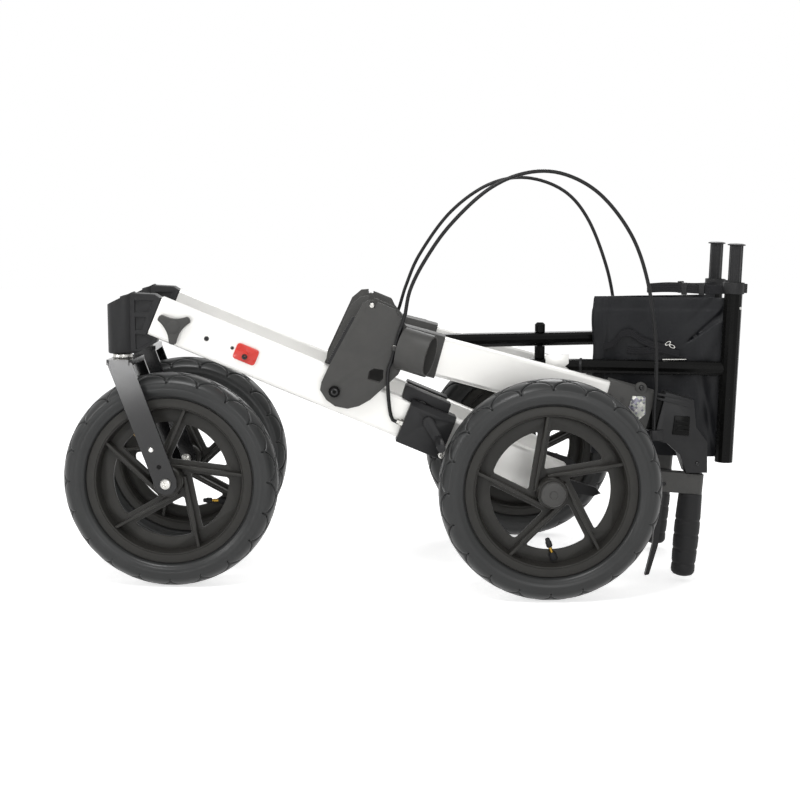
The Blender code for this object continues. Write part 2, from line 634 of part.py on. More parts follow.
def chassis_beam(side_name, side):
    """White profile with the holes of all that passes through it."""
    owner = "chassis_" + side_name
    axle_along = (Vector((REAR_AXLE_X, 0, AXLE_Z)) - CHASSIS_FRONT).dot(CHASSIS_DIR)
    length = axle_along + CHASSIS_END_PAST_AXLE
    beam = profile_tube(CHASSIS_FRONT, CHASSIS_DIR, CHASSIS_UP, side, length, BEAM_WALL)
    knob_at = CHASSIS_FRONT + CHASSIS_DIR * KNOB_ALONG + CHASSIS_UP * KNOB_ABOVE
    catch_at = CHASSIS_FRONT + CHASSIS_DIR * CATCH_ALONG
    reach = BEAM_WIDTH / 2 + 0.01
    beam = cut(beam,
               across(knob_at, side, 0, reach, KNOB_STUD + GAP, 12),
               across(catch_at, side, 0, reach, CATCH_STUD + GAP, 12),
               across(PIVOT, side, -reach, reach, PIVOT_RADIUS + GAP, 12),
               across(brake_pivot(), side, 0, reach, SHOE_PIN + GAP, 12),
               across((REAR_AXLE_X, 0, AXLE_Z), side, -reach, reach, REAR_AXLE_RADIUS + GAP, 16))
    finish(beam, "chassis_beam_" + side_name, owner, "satin_aluminium")

    body("knob_" + side_name, at_side(knob_at, side), owner)
    lobes = 48
    outline = []
    for i in range(lobes):
        angle = 2 * pi * i / lobes
        radius = KNOB_RADIUS * (0.64 + 0.36 * cos(3 * angle))
        outline.append((radius * cos(angle + KNOB_TURN), radius * sin(angle + KNOB_TURN)))
    start = BEAM_WIDTH / 2 + KNOB_STANDOFF
    knob = prism(outline[::2], start, start + KNOB_THICK, side_frame(knob_at, CHASSIS_DIR, CHASSIS_UP, side))
    neck = across(knob_at, side, BEAM_WIDTH / 2 + GAP, start + 0.002, 0.008, 16)
    stud = across(knob_at, side, 0.002, start + 0.002, KNOB_STUD, 12)
    finish(joined(knob, neck, stud), "star_knob_" + side_name, "knob_" + side_name, "black_polymer")

    body("catch_" + side_name, at_side(catch_at, side), owner)
    start = BEAM_WIDTH / 2 + GAP
    catch_frame = side_frame(catch_at, CHASSIS_DIR, CHASSIS_UP, side)
    catch = prism(rounded(CATCH_LENGTH, CATCH_HEIGHT, 0.004), start, start + CATCH_THICK, catch_frame)
    peg = across(catch_at, side, 0.004, OUTER_PLATE_OUT, CATCH_STUD, 12)
    finish(joined(catch, peg), "stop_catch_" + side_name, "catch_" + side_name, "red_polymer")

    low = -INNER_PLATE_OUT - GAP
    high = OUTER_PLATE_OUT + GAP
    bolt = turned([(0, low - 0.004), (PIVOT_HEAD_RADIUS, low - 0.004), (PIVOT_HEAD_RADIUS, low),
                   (PIVOT_RADIUS, low), (PIVOT_RADIUS, high), (PIVOT_HEAD_RADIUS, high),
                   (PIVOT_HEAD_RADIUS, high + 0.003), (0, high + 0.003)],
                  at_side(PIVOT, side), (0, side, 0), 12, closed=False)
    finish(bolt, "pivot_bolt_" + side_name, owner, "matt_black_steel")


def brake_pivot():
    """Pin of the brake arm, on the chassis beam just ahead of the rear tyre."""
    return CHASSIS_FRONT + CHASSIS_DIR * (BRAKE_ALONG + BRAKE_PIN_ALONG) + CHASSIS_UP * BRAKE_PIN_ABOVE


def tyre_brake(side_name, side):
    """Housing that wraps the beam, and the arm whose shoe meets the tread."""
    owner = "chassis_" + side_name
    arm_body = "brake_arm_" + side_name
    base = CHASSIS_FRONT + CHASSIS_DIR * BRAKE_ALONG
    pin = brake_pivot()
    body(arm_body, at_side(pin, side), owner)
    half = BEAM_HEIGHT / 2 + GAP
    deep = BEAM_WIDTH / 2 + GAP
    shell_out = deep + BRAKE_OUT
    frame = axes(at_side(base, side), CHASSIS_UP, Vector((0, side, 0)), CHASSIS_DIR)
    top = half + BRAKE_SHELL
    saddle = [(-half - BRAKE_SHELL, deep - 0.012), (-half - BRAKE_SHELL, shell_out), (top - 0.008, shell_out),
              (top, shell_out - 0.008), (top, -deep + 0.004), (half, -deep + 0.004), (half, deep),
              (-half, deep), (-half, deep - 0.012)]
    shell = prism(saddle, 0, BRAKE_LENGTH, frame)
    shell = cut(shell, across(pin, side, 0, shell_out + 0.01, SHOE_PIN + GAP, 12))
    finish(shell, "brake_mount_" + side_name, owner, "black_polymer")

    # The arm lies outside the housing and carries the shoe out in front of the tread
    wheel = Vector((REAR_AXLE_X, 0, AXLE_Z))
    shoe_reach = TYRE_RADIUS + SHOE_GAP + SHOE_RADIUS
    shoe = wheel + Vector((cos(SHOE_ANGLE), 0, sin(SHOE_ANGLE))) * shoe_reach
    lever_in = shell_out + GAP
    lever_out = lever_in + ARM_THICK
    span = shoe - pin
    length = span.length
    along = span.normalized()
    up = Vector((-along.z, 0, along.x))
    arc_pin = [(0.008 * cos(radians(a)), 0.008 * sin(radians(a))) for a in range(90, 271, 45)]
    arc_shoe = [(length + 0.007 * cos(radians(a)), 0.007 * sin(radians(a))) for a in range(-90, 91, 45)]
    plate = prism(arc_pin + arc_shoe, lever_in, lever_out, side_frame(pin, along, up, side))
    pad_end = REAR_WHEEL_Y - SIDE_Y + TYRE_WIDTH * 0.36
    pad = across(shoe, side, lever_out - 0.003, pad_end, SHOE_RADIUS, 16)
    post = across(pin, side, 0.004, lever_in + 0.002, SHOE_PIN, 12)
    finish(joined(plate, pad, post), "brake_arm_" + side_name, arm_body, "grey_polymer")


def knuckle(side_name, side):
    """Moulding with two side plates, a web between them, a collar for the upright and a cane cup."""
    owner = "upright_" + side_name
    frame = side_frame(PIVOT, TOWER_SIDE, TOWER_DIR, side)
    outer = prism(OUTER_PLATE, OUTER_PLATE_IN, OUTER_PLATE_OUT, frame)
    inner = prism(INNER_PLATE, -INNER_PLATE_OUT, -INNER_PLATE_IN, frame)
    overlap = 0.001
    web = prism([(WEB_OFFSET, WEB_OFFSET + 0.003), (WEB_OFFSET + WEB_THICK, WEB_OFFSET + 0.003),
                 (WEB_OFFSET + WEB_THICK, TOWER_LENGTH - 0.002), (WEB_OFFSET, TOWER_LENGTH - 0.002)],
                -INNER_PLATE_IN - overlap, OUTER_PLATE_IN + overlap, frame)
    shape = joined(outer, web, inner)

    # Collar round the upright beam
    wall = COLLAR_WALL + GAP
    collar_frame = axes(at_side(UPRIGHT_ORIGIN, side), UPRIGHT_UP, Vector((0, side, 0)), UPRIGHT_DIR)
    sleeve = prism(rounded(BEAM_HEIGHT + 2 * wall, BEAM_WIDTH + 2 * wall, BEAM_CORNER + COLLAR_WALL), -0.002,
                   COLLAR_LENGTH, collar_frame)
    cup_way = UPRIGHT_DIR * cos(CUP_TURN) + Vector((0, side * sin(CUP_TURN), 0))
    cup_side = Vector((0, side * cos(CUP_TURN), 0)) - UPRIGHT_DIR * sin(CUP_TURN)
    mouth = at_side(UPRIGHT_ORIGIN + UPRIGHT_DIR * CUP_MOUTH_ALONG, side, CUP_OUT)
    cup_frame = axes(mouth, UPRIGHT_UP, cup_side, cup_way)
    turns = [2 * pi * i / CUP_SIDES for i in range(CUP_SIDES)]
    oval = [(CUP_HALF_HEIGHT * cos(a), CUP_HALF_WIDTH * sin(a)) for a in turns]
    well = [((CUP_HALF_HEIGHT - CUP_WALL) * cos(a), (CUP_HALF_WIDTH - CUP_WALL) * sin(a)) for a in turns]
    shape = joined(shape, sleeve, prism(oval, -CUP_LENGTH, 0, cup_frame))
    bore = prism(rounded(BEAM_HEIGHT + 2 * GAP, BEAM_WIDTH + 2 * GAP, BEAM_CORNER), -0.0005,
                 COLLAR_LENGTH + 0.01, collar_frame)
    hollow = prism(well, -CUP_DEPTH, 0.01, cup_frame)
    notch_mid = PIVOT_ALONG - CATCH_ALONG
    notch_low = notch_mid - CATCH_STUD - 0.002
    notch = prism([(-NOTCH_WIDTH / 2, notch_low), (NOTCH_WIDTH / 2, notch_low),
                   (NOTCH_WIDTH / 2, TOWER_LENGTH + 0.01), (-NOTCH_WIDTH / 2, TOWER_LENGTH + 0.01)],
                  BEAM_WIDTH / 2, OUTER_PLATE_OUT + 0.01, frame)
    shape = cut(shape, bore, hollow, notch,
                across(PIVOT, side, -0.05, 0.05, PIVOT_RADIUS + GAP, 12))

    # Block that guides the brake cable past the fold
    inside = side * (SIDE_Y + OUTER_PLATE_OUT - 0.001)
    outside = side * (SIDE_Y + OUTER_PLATE_OUT + 2 * CABLE_OUT - 0.001)
    guide = [(-GUIDE_WIDE, inside), (GUIDE_WIDE, inside), (GUIDE_WIDE * 0.6, outside),
             (-GUIDE_WIDE * 0.6, outside)]
    guide_frame = axes(GUIDE_PLACE, GUIDE_ACROSS, Vector((0, 1, 0)), GUIDE_DIR)
    shape = joined(shape, prism(guide, -GUIDE_HALF, GUIDE_HALF, guide_frame))

    # Inner bracket with the pin that the seat's brace turns on
    other = "right" if side_name == "left" else "left"
    arm_z = ARM_Z[other]
    pin_x = CROSS_X - CROSS_HALF
    top = arm_z - ARM_RADIUS - GAP
    reach_in = SIDE_Y - RAIL_Y
    bracket = prism([(-INNER_PLATE_OUT + 0.001, -BRACKET_HALF), (-INNER_PLATE_OUT + 0.001, BRACKET_HALF),
                     (-reach_in, BRACKET_HALF), (-reach_in - BRACKET_HALF * 0.7, BRACKET_HALF * 0.7),
                     (-reach_in - BRACKET_HALF, 0), (-reach_in - BRACKET_HALF * 0.7, -BRACKET_HALF * 0.7),
                     (-reach_in, -BRACKET_HALF)], top - BRACKET_THICK, top,
                    axes(Vector((pin_x, side * SIDE_Y, 0)), Vector((0, side, 0)), Vector((1, 0, 0)),
                         Vector((0, 0, 1))))
    shape = joined(shape, bracket)
    if side_name == "right":
        pin = rod((pin_x, side * RAIL_Y, top - 0.003), (pin_x, side * RAIL_Y, arm_z + ARM_RADIUS + 0.003),
                  PIN_RADIUS)
        shape = joined(shape, pin)
    finish(shape, "knuckle_" + side_name, owner, "grey_polymer")


def upright(side_name, side):
    """Upright beam, its end bracket and the telescopic stem."""
    owner = "upright_" + side_name
    handle = "handle_" + side_name
    body(owner, at_side(PIVOT, side), "chassis_" + side_name)
    body(handle, at_side(UPRIGHT_END, side), owner)
    knuckle(side_name, side)
    beam = profile_tube(UPRIGHT_ORIGIN, UPRIGHT_DIR, UPRIGHT_UP, side, UPRIGHT_LENGTH, BEAM_WALL)
    finish(beam, "upright_beam_" + side_name, owner, "satin_aluminium")

    stem_height = BEAM_HEIGHT - 2 * BEAM_WALL - 2 * SLIDE_GAP
    stem_width = BEAM_WIDTH - 2 * BEAM_WALL - 2 * SLIDE_GAP
    frame = axes(at_side(UPRIGHT_END, side), UPRIGHT_UP, Vector((0, side, 0)), UPRIGHT_DIR)
    block = prism(rounded(BEAM_HEIGHT + 2 * BRACKET_WALL, BEAM_WIDTH + 2 * BRACKET_WALL, 0.008),
                  -BRACKET_ON_BEAM, BRACKET_PAST_BEAM, frame)
    seat = prism(rounded(BEAM_HEIGHT + 2 * GAP, BEAM_WIDTH + 2 * GAP, BEAM_CORNER),
                 -2 * BRACKET_ON_BEAM, GAP, frame)
    slot = prism(rounded(stem_height + 2 * SLIDE_GAP, stem_width + 2 * SLIDE_GAP, 0.002), -0.01,
                 2 * BRACKET_PAST_BEAM, frame)
    finish(cut(block, seat, slot), "end_bracket_" + side_name, owner, "grey_polymer")

    stem_start = UPRIGHT_END - UPRIGHT_DIR * (STEM_LENGTH - STEM_OUT)
    stem = profile_tube(stem_start, UPRIGHT_DIR, UPRIGHT_UP, side, STEM_LENGTH, STEM_WALL, stem_width,
                        stem_height)
    finish(stem, "handle_stem_" + side_name, handle, "matt_black_steel")


def handle(side_name, side):
    """Casting, bar, clamp, grip and brake lever."""
    owner = "handle_" + side_name
    lever_body = "lever_" + side_name
    shape = [(CASTING_FACE.x + x, CASTING_FACE.z + z) for x, z in CASTING_SHAPE]
    casting = prism(shape, -CASTING_HALF, CASTING_HALF, flat_frame(side))
    inside = side * (SIDE_Y + CASTING_HALF - PORT_WIDE)
    outside = side * (SIDE_Y + CASTING_HALF + CABLE_OUT + PORT_WIDE)
    port = [(-PORT_WIDE, inside), (PORT_REACH, inside), (PORT_REACH, outside - side * 0.006),
            (PORT_WIDE, outside), (-PORT_WIDE * 0.6, outside), (-PORT_WIDE, outside - side * 0.003)]
    casting = joined(casting, prism(port, -PORT_HALF, PORT_HALF, Matrix.Translation(PORT_PLACE)))
    stem_height = BEAM_HEIGHT - 2 * BEAM_WALL - 2 * SLIDE_GAP
    stem_width = BEAM_WIDTH - 2 * BEAM_WALL - 2 * SLIDE_GAP
    frame = axes(at_side(CASTING_FACE, side), UPRIGHT_UP, Vector((0, side, 0)), UPRIGHT_DIR)
    socket = prism(rounded(stem_height + 2 * GAP, stem_width + 2 * GAP, 0.004), -0.08,
                   STEM_IN_CASTING + GAP, frame)
    bar_at = CASTING_FACE + BAR_PLACE - BAR_DIR * BAR_IN_CASTING
    bar_end = bar_at + BAR_DIR * BAR_LENGTH
    hole = rod(at_side(bar_at - BAR_DIR * GAP, side), at_side(bar_end, side), BAR_RADIUS + GAP, BAR_SIDES)
    finish(cut(casting, socket, hole), "handle_casting_" + side_name, owner, "black_polymer")

    bar = turned([(BAR_RADIUS - BAR_WALL, 0), (BAR_RADIUS, 0), (BAR_RADIUS, BAR_LENGTH),
                  (BAR_RADIUS - BAR_WALL, BAR_LENGTH)], at_side(bar_at, side), BAR_DIR, BAR_SIDES)
    finish(bar, "handle_bar_" + side_name, owner, "matt_black_steel")

    clamp_top = bar_at + BAR_DIR * (BAR_IN_CASTING + 0.003)
    clamp_frame = axes(at_side(clamp_top, side), BAR_SIDE, Vector((0, side, 0)), BAR_DIR)
    lever_at = clamp_top - BAR_SIDE * (LEVER_OFFSET - 0.012) + BAR_DIR * (CLAMP_HEIGHT * 0.6)
    clamp_end = -LEVER_OFFSET + 0.006
    clamp = prism([(clamp_end, -0.010), (CLAMP_HALF - 0.004, -CLAMP_HALF), (CLAMP_HALF, -CLAMP_HALF + 0.004),
                   (CLAMP_HALF, CLAMP_HALF - 0.004), (CLAMP_HALF - 0.004, CLAMP_HALF), (clamp_end, 0.010)],
                  0, CLAMP_HEIGHT, clamp_frame)
    slot_half = LEVER_WIDTH / 2 - 0.002
    slot = prism([(clamp_end - 0.01, -slot_half), (-CLAMP_HALF - 0.002, -slot_half),
                  (-CLAMP_HALF - 0.002, slot_half), (clamp_end - 0.01, slot_half)],
                 0.006, CLAMP_HEIGHT + 0.01, clamp_frame)
    bar_hole = rod(at_side(clamp_top - BAR_DIR * 0.01, side), at_side(bar_end, side),
                   BAR_RADIUS + GAP, BAR_SIDES)
    clamp = cut(clamp, bar_hole, slot, across(lever_at, side, -0.03, 0.03, LEVER_PIN + GAP, 12))
    finish(clamp, "brake_clamp_" + side_name, owner, "grey_polymer")

    grip_top = clamp_top + BAR_DIR * (CLAMP_HEIGHT + GAP)
    bore_end = BAR_LENGTH - BAR_IN_CASTING - 0.003 - CLAMP_HEIGHT
    profile = [(BAR_RADIUS + GAP, 0), (GRIP_RADIUS * 0.85, 0), (GRIP_RADIUS * 0.88, 0.020),
               (GRIP_RADIUS, GRIP_LENGTH * 0.45), (GRIP_RADIUS, GRIP_LENGTH * 0.90),
               (GRIP_RADIUS * 0.80, GRIP_LENGTH), (0, GRIP_LENGTH), (0, bore_end + GAP),
               (BAR_RADIUS + GAP, bore_end + GAP)]
    grip = turned(profile, at_side(grip_top, side), BAR_DIR, BAR_SIDES)
    finish(grip, "grip_" + side_name, owner, "grip_rubber")

    body(lever_body, at_side(lever_at, side), owner)
    lever_frame = side_frame(lever_at, BAR_DIR, BAR_SIDE, side)
    half = LEVER_THICK / 2
    blade = [(-0.007, -0.006), (-0.007, 0.006), (0.006, 0.007), (0.020, half),
             (LEVER_LENGTH * 0.68, half - 0.002), (LEVER_LENGTH, half - 0.011),
             (LEVER_LENGTH + 0.002, -half - 0.010), (LEVER_LENGTH * 0.68, -half - 0.003),
             (0.020, -half - 0.003)]
    thin = LEVER_WIDTH / 2 - 0.002 - GAP
    lever = joined(prism(blade, -thin, thin, lever_frame),
                   across(lever_at, side, -0.0095, 0.0095, LEVER_PIN, 12))
    finish(lever, "brake_lever_" + side_name, lever_body, "black_polymer")


def seat_frame(side_name, side):
    """Brace tube welded to a seat rail. The brace ends on the pin at the far side's knuckle."""
    owner = "seat_arm_" + side_name
    level = ARM_Z[side_name]
    foot = Vector((CROSS_X - CROSS_HALF, -side * RAIL_Y, level))
    top = Vector((CROSS_X + CROSS_HALF, side * RAIL_Y, level))
    way = (top - foot).normalized()
    lean = Vector((sin(RAIL_LEAN), 0, cos(RAIL_LEAN)))
    rail_low = top + lean * ((RAIL_BOTTOM - level) / lean.z)
    rail_high = top + lean * ((RAIL_TOP - level) / lean.z)
    shape = joined(rod(foot - way * 0.014, top, ARM_RADIUS, ARM_SIDES),
                   rod(rail_low, rail_high, RAIL_RADIUS, RAIL_SIDES))
    shape = cut(shape,
                rod(rail_low - lean * 0.01, rail_high + lean * 0.01, RAIL_RADIUS - RAIL_WALL, RAIL_SIDES),
                rod(foot - way * 0.03, top - way * RAIL_RADIUS * 1.4, ARM_RADIUS - ARM_WALL, ARM_SIDES))
    cross = Vector((CROSS_X, 0, level))
    drop = Vector((0, 0, ARM_RADIUS + 0.01))
    shape = cut(shape, rod(cross - drop, cross + drop, CROSS_BOLT_RADIUS + GAP, 12))
    if side_name == "left":
        shape = cut(shape, rod(foot - drop, foot + drop, PIN_RADIUS + GAP, 16))
    finish(shape, "seat_frame_" + side_name, owner, "matt_black_steel")

    bore = RAIL_RADIUS - RAIL_WALL - GAP
    plug = [(0, -PLUG_IN_RAIL), (bore, -PLUG_IN_RAIL), (bore, GAP), (RAIL_RADIUS, GAP), (RAIL_RADIUS, 0.004),
            (PLUG_RADIUS, 0.006), (PLUG_RADIUS, PLUG_LENGTH - 0.008), (PLUG_HEAD, PLUG_LENGTH - 0.006),
            (PLUG_HEAD, PLUG_LENGTH - 0.002), (PLUG_HEAD * 0.7, PLUG_LENGTH), (0, PLUG_LENGTH)]
    plug_mesh = turned(plug, rail_high, lean, RAIL_SIDES, closed=False)
    finish(plug_mesh, "rail_plug_" + side_name, owner, "black_polymer")


def centre_bolt():
    """Bolt through both braces, with a spacer between them and a knob on top."""
    low = ARM_Z["left"] - ARM_RADIUS - GAP
    high = ARM_Z["right"] + ARM_RADIUS + GAP
    gap_low = ARM_Z["left"] + ARM_RADIUS + GAP
    gap_high = ARM_Z["right"] - ARM_RADIUS - GAP
    wide = CROSS_KNOB_RADIUS
    profile = [(0, low - 0.005), (wide, low - 0.005), (wide, low), (CROSS_BOLT_RADIUS, low),
               (CROSS_BOLT_RADIUS, gap_low), (wide, gap_low), (wide, gap_high), (CROSS_BOLT_RADIUS, gap_high),
               (CROSS_BOLT_RADIUS, high), (wide, high), (wide, high + CROSS_KNOB - 0.003),
               (wide * 0.6, high + CROSS_KNOB), (0, high + CROSS_KNOB)]
    bolt = turned(profile, Vector((CROSS_X, 0, 0)), (0, 0, 1), 12, closed=False)
    finish(bolt, "centre_bolt", "seat_arm_left", "matt_black_steel")


def vee(tip_x, end_x, tip_half, end_half, thick, low, high):
    """A sheet folded to a V, its fold towards the front, as one closed solid."""
    outline = [(tip_x, -tip_half), (end_x, -end_half), (end_x, -end_half + thick),
               (tip_x + thick * 3, 0), (end_x, end_half - thick), (end_x, end_half), (tip_x, tip_half)]
    return prism(outline, low, high)


def fabric():
    rail_x = CROSS_X + CROSS_HALF
    end_half = RAIL_Y - RAIL_RADIUS - GAP
    front = rail_x - 0.006 - SLING_DEPTH
    sling = vee(front, rail_x, SLING_FOLD_HALF, end_half, SLING_THICK, SLING_BOTTOM, SLING_TOP)
    finish(sling, "seat_sling", "seat_arm_left", "black_fabric")
    strap_x = rail_x + (STRAP_TOP - ARM_Z["left"]) * math.tan(RAIL_LEAN)
    strap = vee(strap_x - STRAP_REACH, strap_x, STRAP_HALF, end_half, STRAP_THICK,
                STRAP_TOP - STRAP_HEIGHT, STRAP_TOP)
    finish(strap, "seat_strap", "seat_arm_left", "black_fabric")


def smooth_route(points, step):
    """Points at even steps along a smooth curve through the given points."""
    places = [Vector(p) for p in points]
    ends = [places[0] * 2 - places[1]] + places + [places[-1] * 2 - places[-2]]
    fine = []
    for a, b, c, d in zip(ends, ends[1:], ends[2:], ends[3:]):
        for i in range(20):
            t = i / 20
            fine.append(0.5 * ((2 * b) + (c - a) * t + (2 * a - 5 * b + 4 * c - d) * t * t
                               + (3 * b - a - 3 * c + d) * t * t * t))
    fine.append(places[-1])
    total = sum((q - p).length for p, q in zip(fine, fine[1:]))
    count = max(4, round(total / step))
    chosen = [fine[0]]
    run = 0.0
    for p, q in zip(fine, fine[1:]):
        run += (q - p).length
        if run >= total * len(chosen) / count - 1e-9 and len(chosen) < count:
            chosen.append(q)
    chosen.append(fine[-1])
    return chosen


def cable(name, owner, points):
    curve = bpy.data.curves.new(name, "CURVE")
    curve.dimensions = "3D"
    curve.bevel_depth = CABLE_RADIUS
    curve.bevel_resolution = 2
    curve.use_fill_caps = True
    places = smooth_route(points, CABLE_STEP)
    spline = curve.splines.new("POLY")
    spline.points.add(len(places) - 1)
    empty, origin = bodies[owner]
    for point, place in zip(spline.points, places):
        point.co = (*(place - origin), 1)
    piece = bpy.data.objects.new(name, curve)
    bpy.context.collection.objects.link(piece)
    piece.parent = empty
    curve.materials.append(material(name + "_finish", *FINISHES["cable_jacket"]))


def cables(side_name, side):
    """The brake cable in two runs, above and below its guide on the knuckle."""
    guide_y = SIDE_Y + OUTER_PLATE_OUT + CABLE_OUT
    port_y = SIDE_Y + CASTING_HALF + CABLE_OUT
    port_top = PORT_PLACE.z + PORT_HALF + GAP
    above = [GUIDE_PLACE + GUIDE_DIR * (GUIDE_HALF + GAP + run) for run in (0, CABLE_RUN_IN)]
    below = [GUIDE_PLACE - GUIDE_DIR * (GUIDE_HALF + GAP + run) for run in (0, CABLE_RUN_IN)]
    route = [(point.x, point.z) for point in above] + CABLE_CREST[side_name]
    route += [(PORT_PLACE.x, port_top + 2 * CABLE_RUN_IN), (PORT_PLACE.x, port_top + CABLE_RUN_IN),
              (PORT_PLACE.x, port_top)]
    start, end = route[0][0], route[-1][0]
    upper = []
    for x, z in route:
        share = (x - start) / (end - start)
        upper.append((x, side * (guide_y + (port_y - guide_y) * share), z))
    cable("cable_upper_" + side_name, "upright_" + side_name, upper)

    entry_y = SIDE_Y + BEAM_WIDTH / 2 + BRAKE_OUT / 2
    entry = CHASSIS_FRONT + CHASSIS_DIR * (BRAKE_ALONG - GAP) - CHASSIS_UP * CABLE_ENTRY_LOW
    bend = [(point.x, point.z) for point in below] + CABLE_BEND
    lower = [(x, side * guide_y, z) for x, z in bend]
    for back in (CABLE_RUN_IN, 0):
        point = entry - CHASSIS_DIR * back
        lower.append((point.x, side * entry_y, point.z))
    cable("cable_lower_" + side_name, "chassis_" + side_name, lower)


body("chassis_left")
body("chassis_right")
for side_label, side_sign in SIDES.items():
    chassis_beam(side_label, side_sign)
    front_end(side_label, side_sign)
    rear_end(side_label, side_sign)
    tyre_brake(side_label, side_sign)
    upright(side_label, side_sign)
    handle(side_label, side_sign)
    cables(side_label, side_sign)
body("seat_arm_left", (CROSS_X - CROSS_HALF, RAIL_Y, ARM_Z["left"]), "upright_right")
body("seat_arm_right", (CROSS_X, 0, ARM_Z["right"]), "seat_arm_left")
for side_label, side_sign in SIDES.items():
    seat_frame(side_label, side_sign)
centre_bolt()
fabric()
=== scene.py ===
# %% [markdown]
# # A folded rollator with large air tyres
# A rollator is a walking frame on wheels. This one is folded for the boot of a car: both uprights lie down on
# the chassis beams, the telescopic handles hang at the back, and the seat hangs in a narrow V between the sides.
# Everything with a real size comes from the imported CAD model, which the first cell loads as a fixed frame.
# This lesson dresses that frame: finer wheels, cloth, cables, screws and materials, each in its own step.

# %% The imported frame
import json
import math

import bpy
import numpy as np
from mathutils import Matrix, Vector


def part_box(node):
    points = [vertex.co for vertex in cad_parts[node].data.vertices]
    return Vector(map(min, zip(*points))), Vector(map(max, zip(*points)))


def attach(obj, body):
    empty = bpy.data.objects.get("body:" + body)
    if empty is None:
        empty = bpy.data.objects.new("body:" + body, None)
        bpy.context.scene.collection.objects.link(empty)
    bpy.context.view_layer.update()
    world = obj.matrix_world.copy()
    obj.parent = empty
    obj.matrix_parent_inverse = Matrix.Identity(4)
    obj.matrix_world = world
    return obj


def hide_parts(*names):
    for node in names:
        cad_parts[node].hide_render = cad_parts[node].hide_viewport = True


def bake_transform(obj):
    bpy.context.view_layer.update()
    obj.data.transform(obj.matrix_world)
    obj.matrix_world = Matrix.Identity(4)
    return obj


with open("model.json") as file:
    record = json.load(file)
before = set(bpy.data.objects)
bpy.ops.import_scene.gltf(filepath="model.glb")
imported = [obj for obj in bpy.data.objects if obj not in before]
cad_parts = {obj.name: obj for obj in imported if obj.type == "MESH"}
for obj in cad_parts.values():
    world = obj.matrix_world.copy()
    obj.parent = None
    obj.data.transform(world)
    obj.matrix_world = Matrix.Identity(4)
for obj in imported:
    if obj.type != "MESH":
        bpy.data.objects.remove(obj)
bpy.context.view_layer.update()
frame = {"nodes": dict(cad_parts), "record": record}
nodes = frame["nodes"]

# %% [markdown]
# ## Camera
# The picture was taken from the rollator's left side, a little over two metres away and a little above it.
# The lens was worked out from where known points of the frame fall in the picture, so that near and far wheels
# stand as far apart as they do there.

# %% Camera
LENS_MM, LOOKS_DOWN, LOOKS_RIGHT = 67.27, 7.3263, 1.4086
camera_data = bpy.data.cameras.new("camera")
camera_data.lens = LENS_MM
camera_data.sensor_width = 36
camera = bpy.data.objects.new("camera", camera_data)
bpy.context.scene.collection.objects.link(camera)
camera.location = (-0.0646, -2.2969, 0.5561)
camera.rotation_euler = (math.radians(90 - LOOKS_DOWN), 0, math.radians(-LOOKS_RIGHT))
bpy.context.scene.camera = camera
bpy.context.scene.view_settings.view_transform = "Standard"
print("camera:", LENS_MM, "mm lens,", LOOKS_DOWN, "degrees down")

# %% [markdown]
# ## Hands
# A few helpers do what hands do in Blender's window. `only` clicks one object, `edited` uses mesh tools on all of
# it in Edit mode, and `finished` adds a modifier and applies it. `spun` draws a cross-section as a loop of points
# and uses the Spin tool, which suits wheels, caps and grips. `block` fills a flat outline and extrudes it, which
# suits plates and mouldings. `round_edges` is a Bevel, because no real edge is perfectly sharp, and a small round
# edge is what catches the light.

# %% Helpers for shapes
SIDES = {"left": -1, "right": 1}
FACING_OUT = (bpy.ops.mesh.normals_make_consistent, {"inside": False})


def only(piece):
    bpy.ops.object.select_all(action="DESELECT")
    piece.select_set(True)
    bpy.context.view_layer.objects.active = piece
def edited(piece, *steps):
    """Uses mesh tools, each with its settings, on all of the piece in Edit mode."""
    only(piece)
    bpy.ops.object.mode_set(mode="EDIT")
    for tool, settings in steps:
        bpy.ops.mesh.select_all(action="SELECT")
        tool(**settings)
    bpy.ops.object.mode_set(mode="OBJECT")
    return piece


def finished(piece, kind, **settings):
    """Adds a modifier with its settings and applies it."""
    only(piece)
    modifier = piece.modifiers.new(kind.lower(), kind)
    for name, value in settings.items():
        setattr(modifier, name, value)
    bpy.ops.object.modifier_apply(modifier=modifier.name)
    return piece

def loop_of_points(name, points):
    """A circle primitive whose points are moved to the given places."""
    bpy.ops.object.select_all(action="DESELECT")
    bpy.ops.mesh.primitive_circle_add(vertices=len(points), radius=0.01)
    piece = bpy.context.object
    piece.name = name
    for vertex, place in zip(piece.data.vertices, points):
        vertex.co = place
    return piece


def spun(name, profile, steps=48):
    """Spins a closed profile of (radius, height) points about the Z axis."""
    piece = loop_of_points(name, [(radius, 0, height) for radius, height in profile])
    full_turn = {"steps": steps, "angle": 2 * math.pi, "center": (0, 0, 0), "axis": (0, 0, 1)}
    return edited(piece, (bpy.ops.mesh.spin, full_turn), (bpy.ops.mesh.remove_doubles, {"threshold": 1e-6}),
                  (bpy.ops.mesh.delete_loose, {"use_faces": False}), FACING_OUT)


def block(name, outline, low, high):
    """Fills an outline of (x, y) points at height low and extrudes it to height high."""
    piece = loop_of_points(name, [(x, y, low) for x, y in outline])
    rise = {"TRANSFORM_OT_translate": {"value": (0, 0, high - low)}}
    return edited(piece, (bpy.ops.mesh.edge_face_add, {}), (bpy.ops.mesh.extrude_region_move, rise), FACING_OUT)


def round_edges(piece, width, segments=2, angle=35):
    return finished(piece, "BEVEL", width=width, segments=segments, limit_method="ANGLE",
                    angle_limit=math.radians(angle))


def carve(piece, tool):
    """Takes the tool's shape out of the piece."""
    finished(piece, "BOOLEAN", operation="DIFFERENCE", solver="EXACT", object=tool)
    bpy.data.objects.remove(tool, do_unlink=True)
    return piece


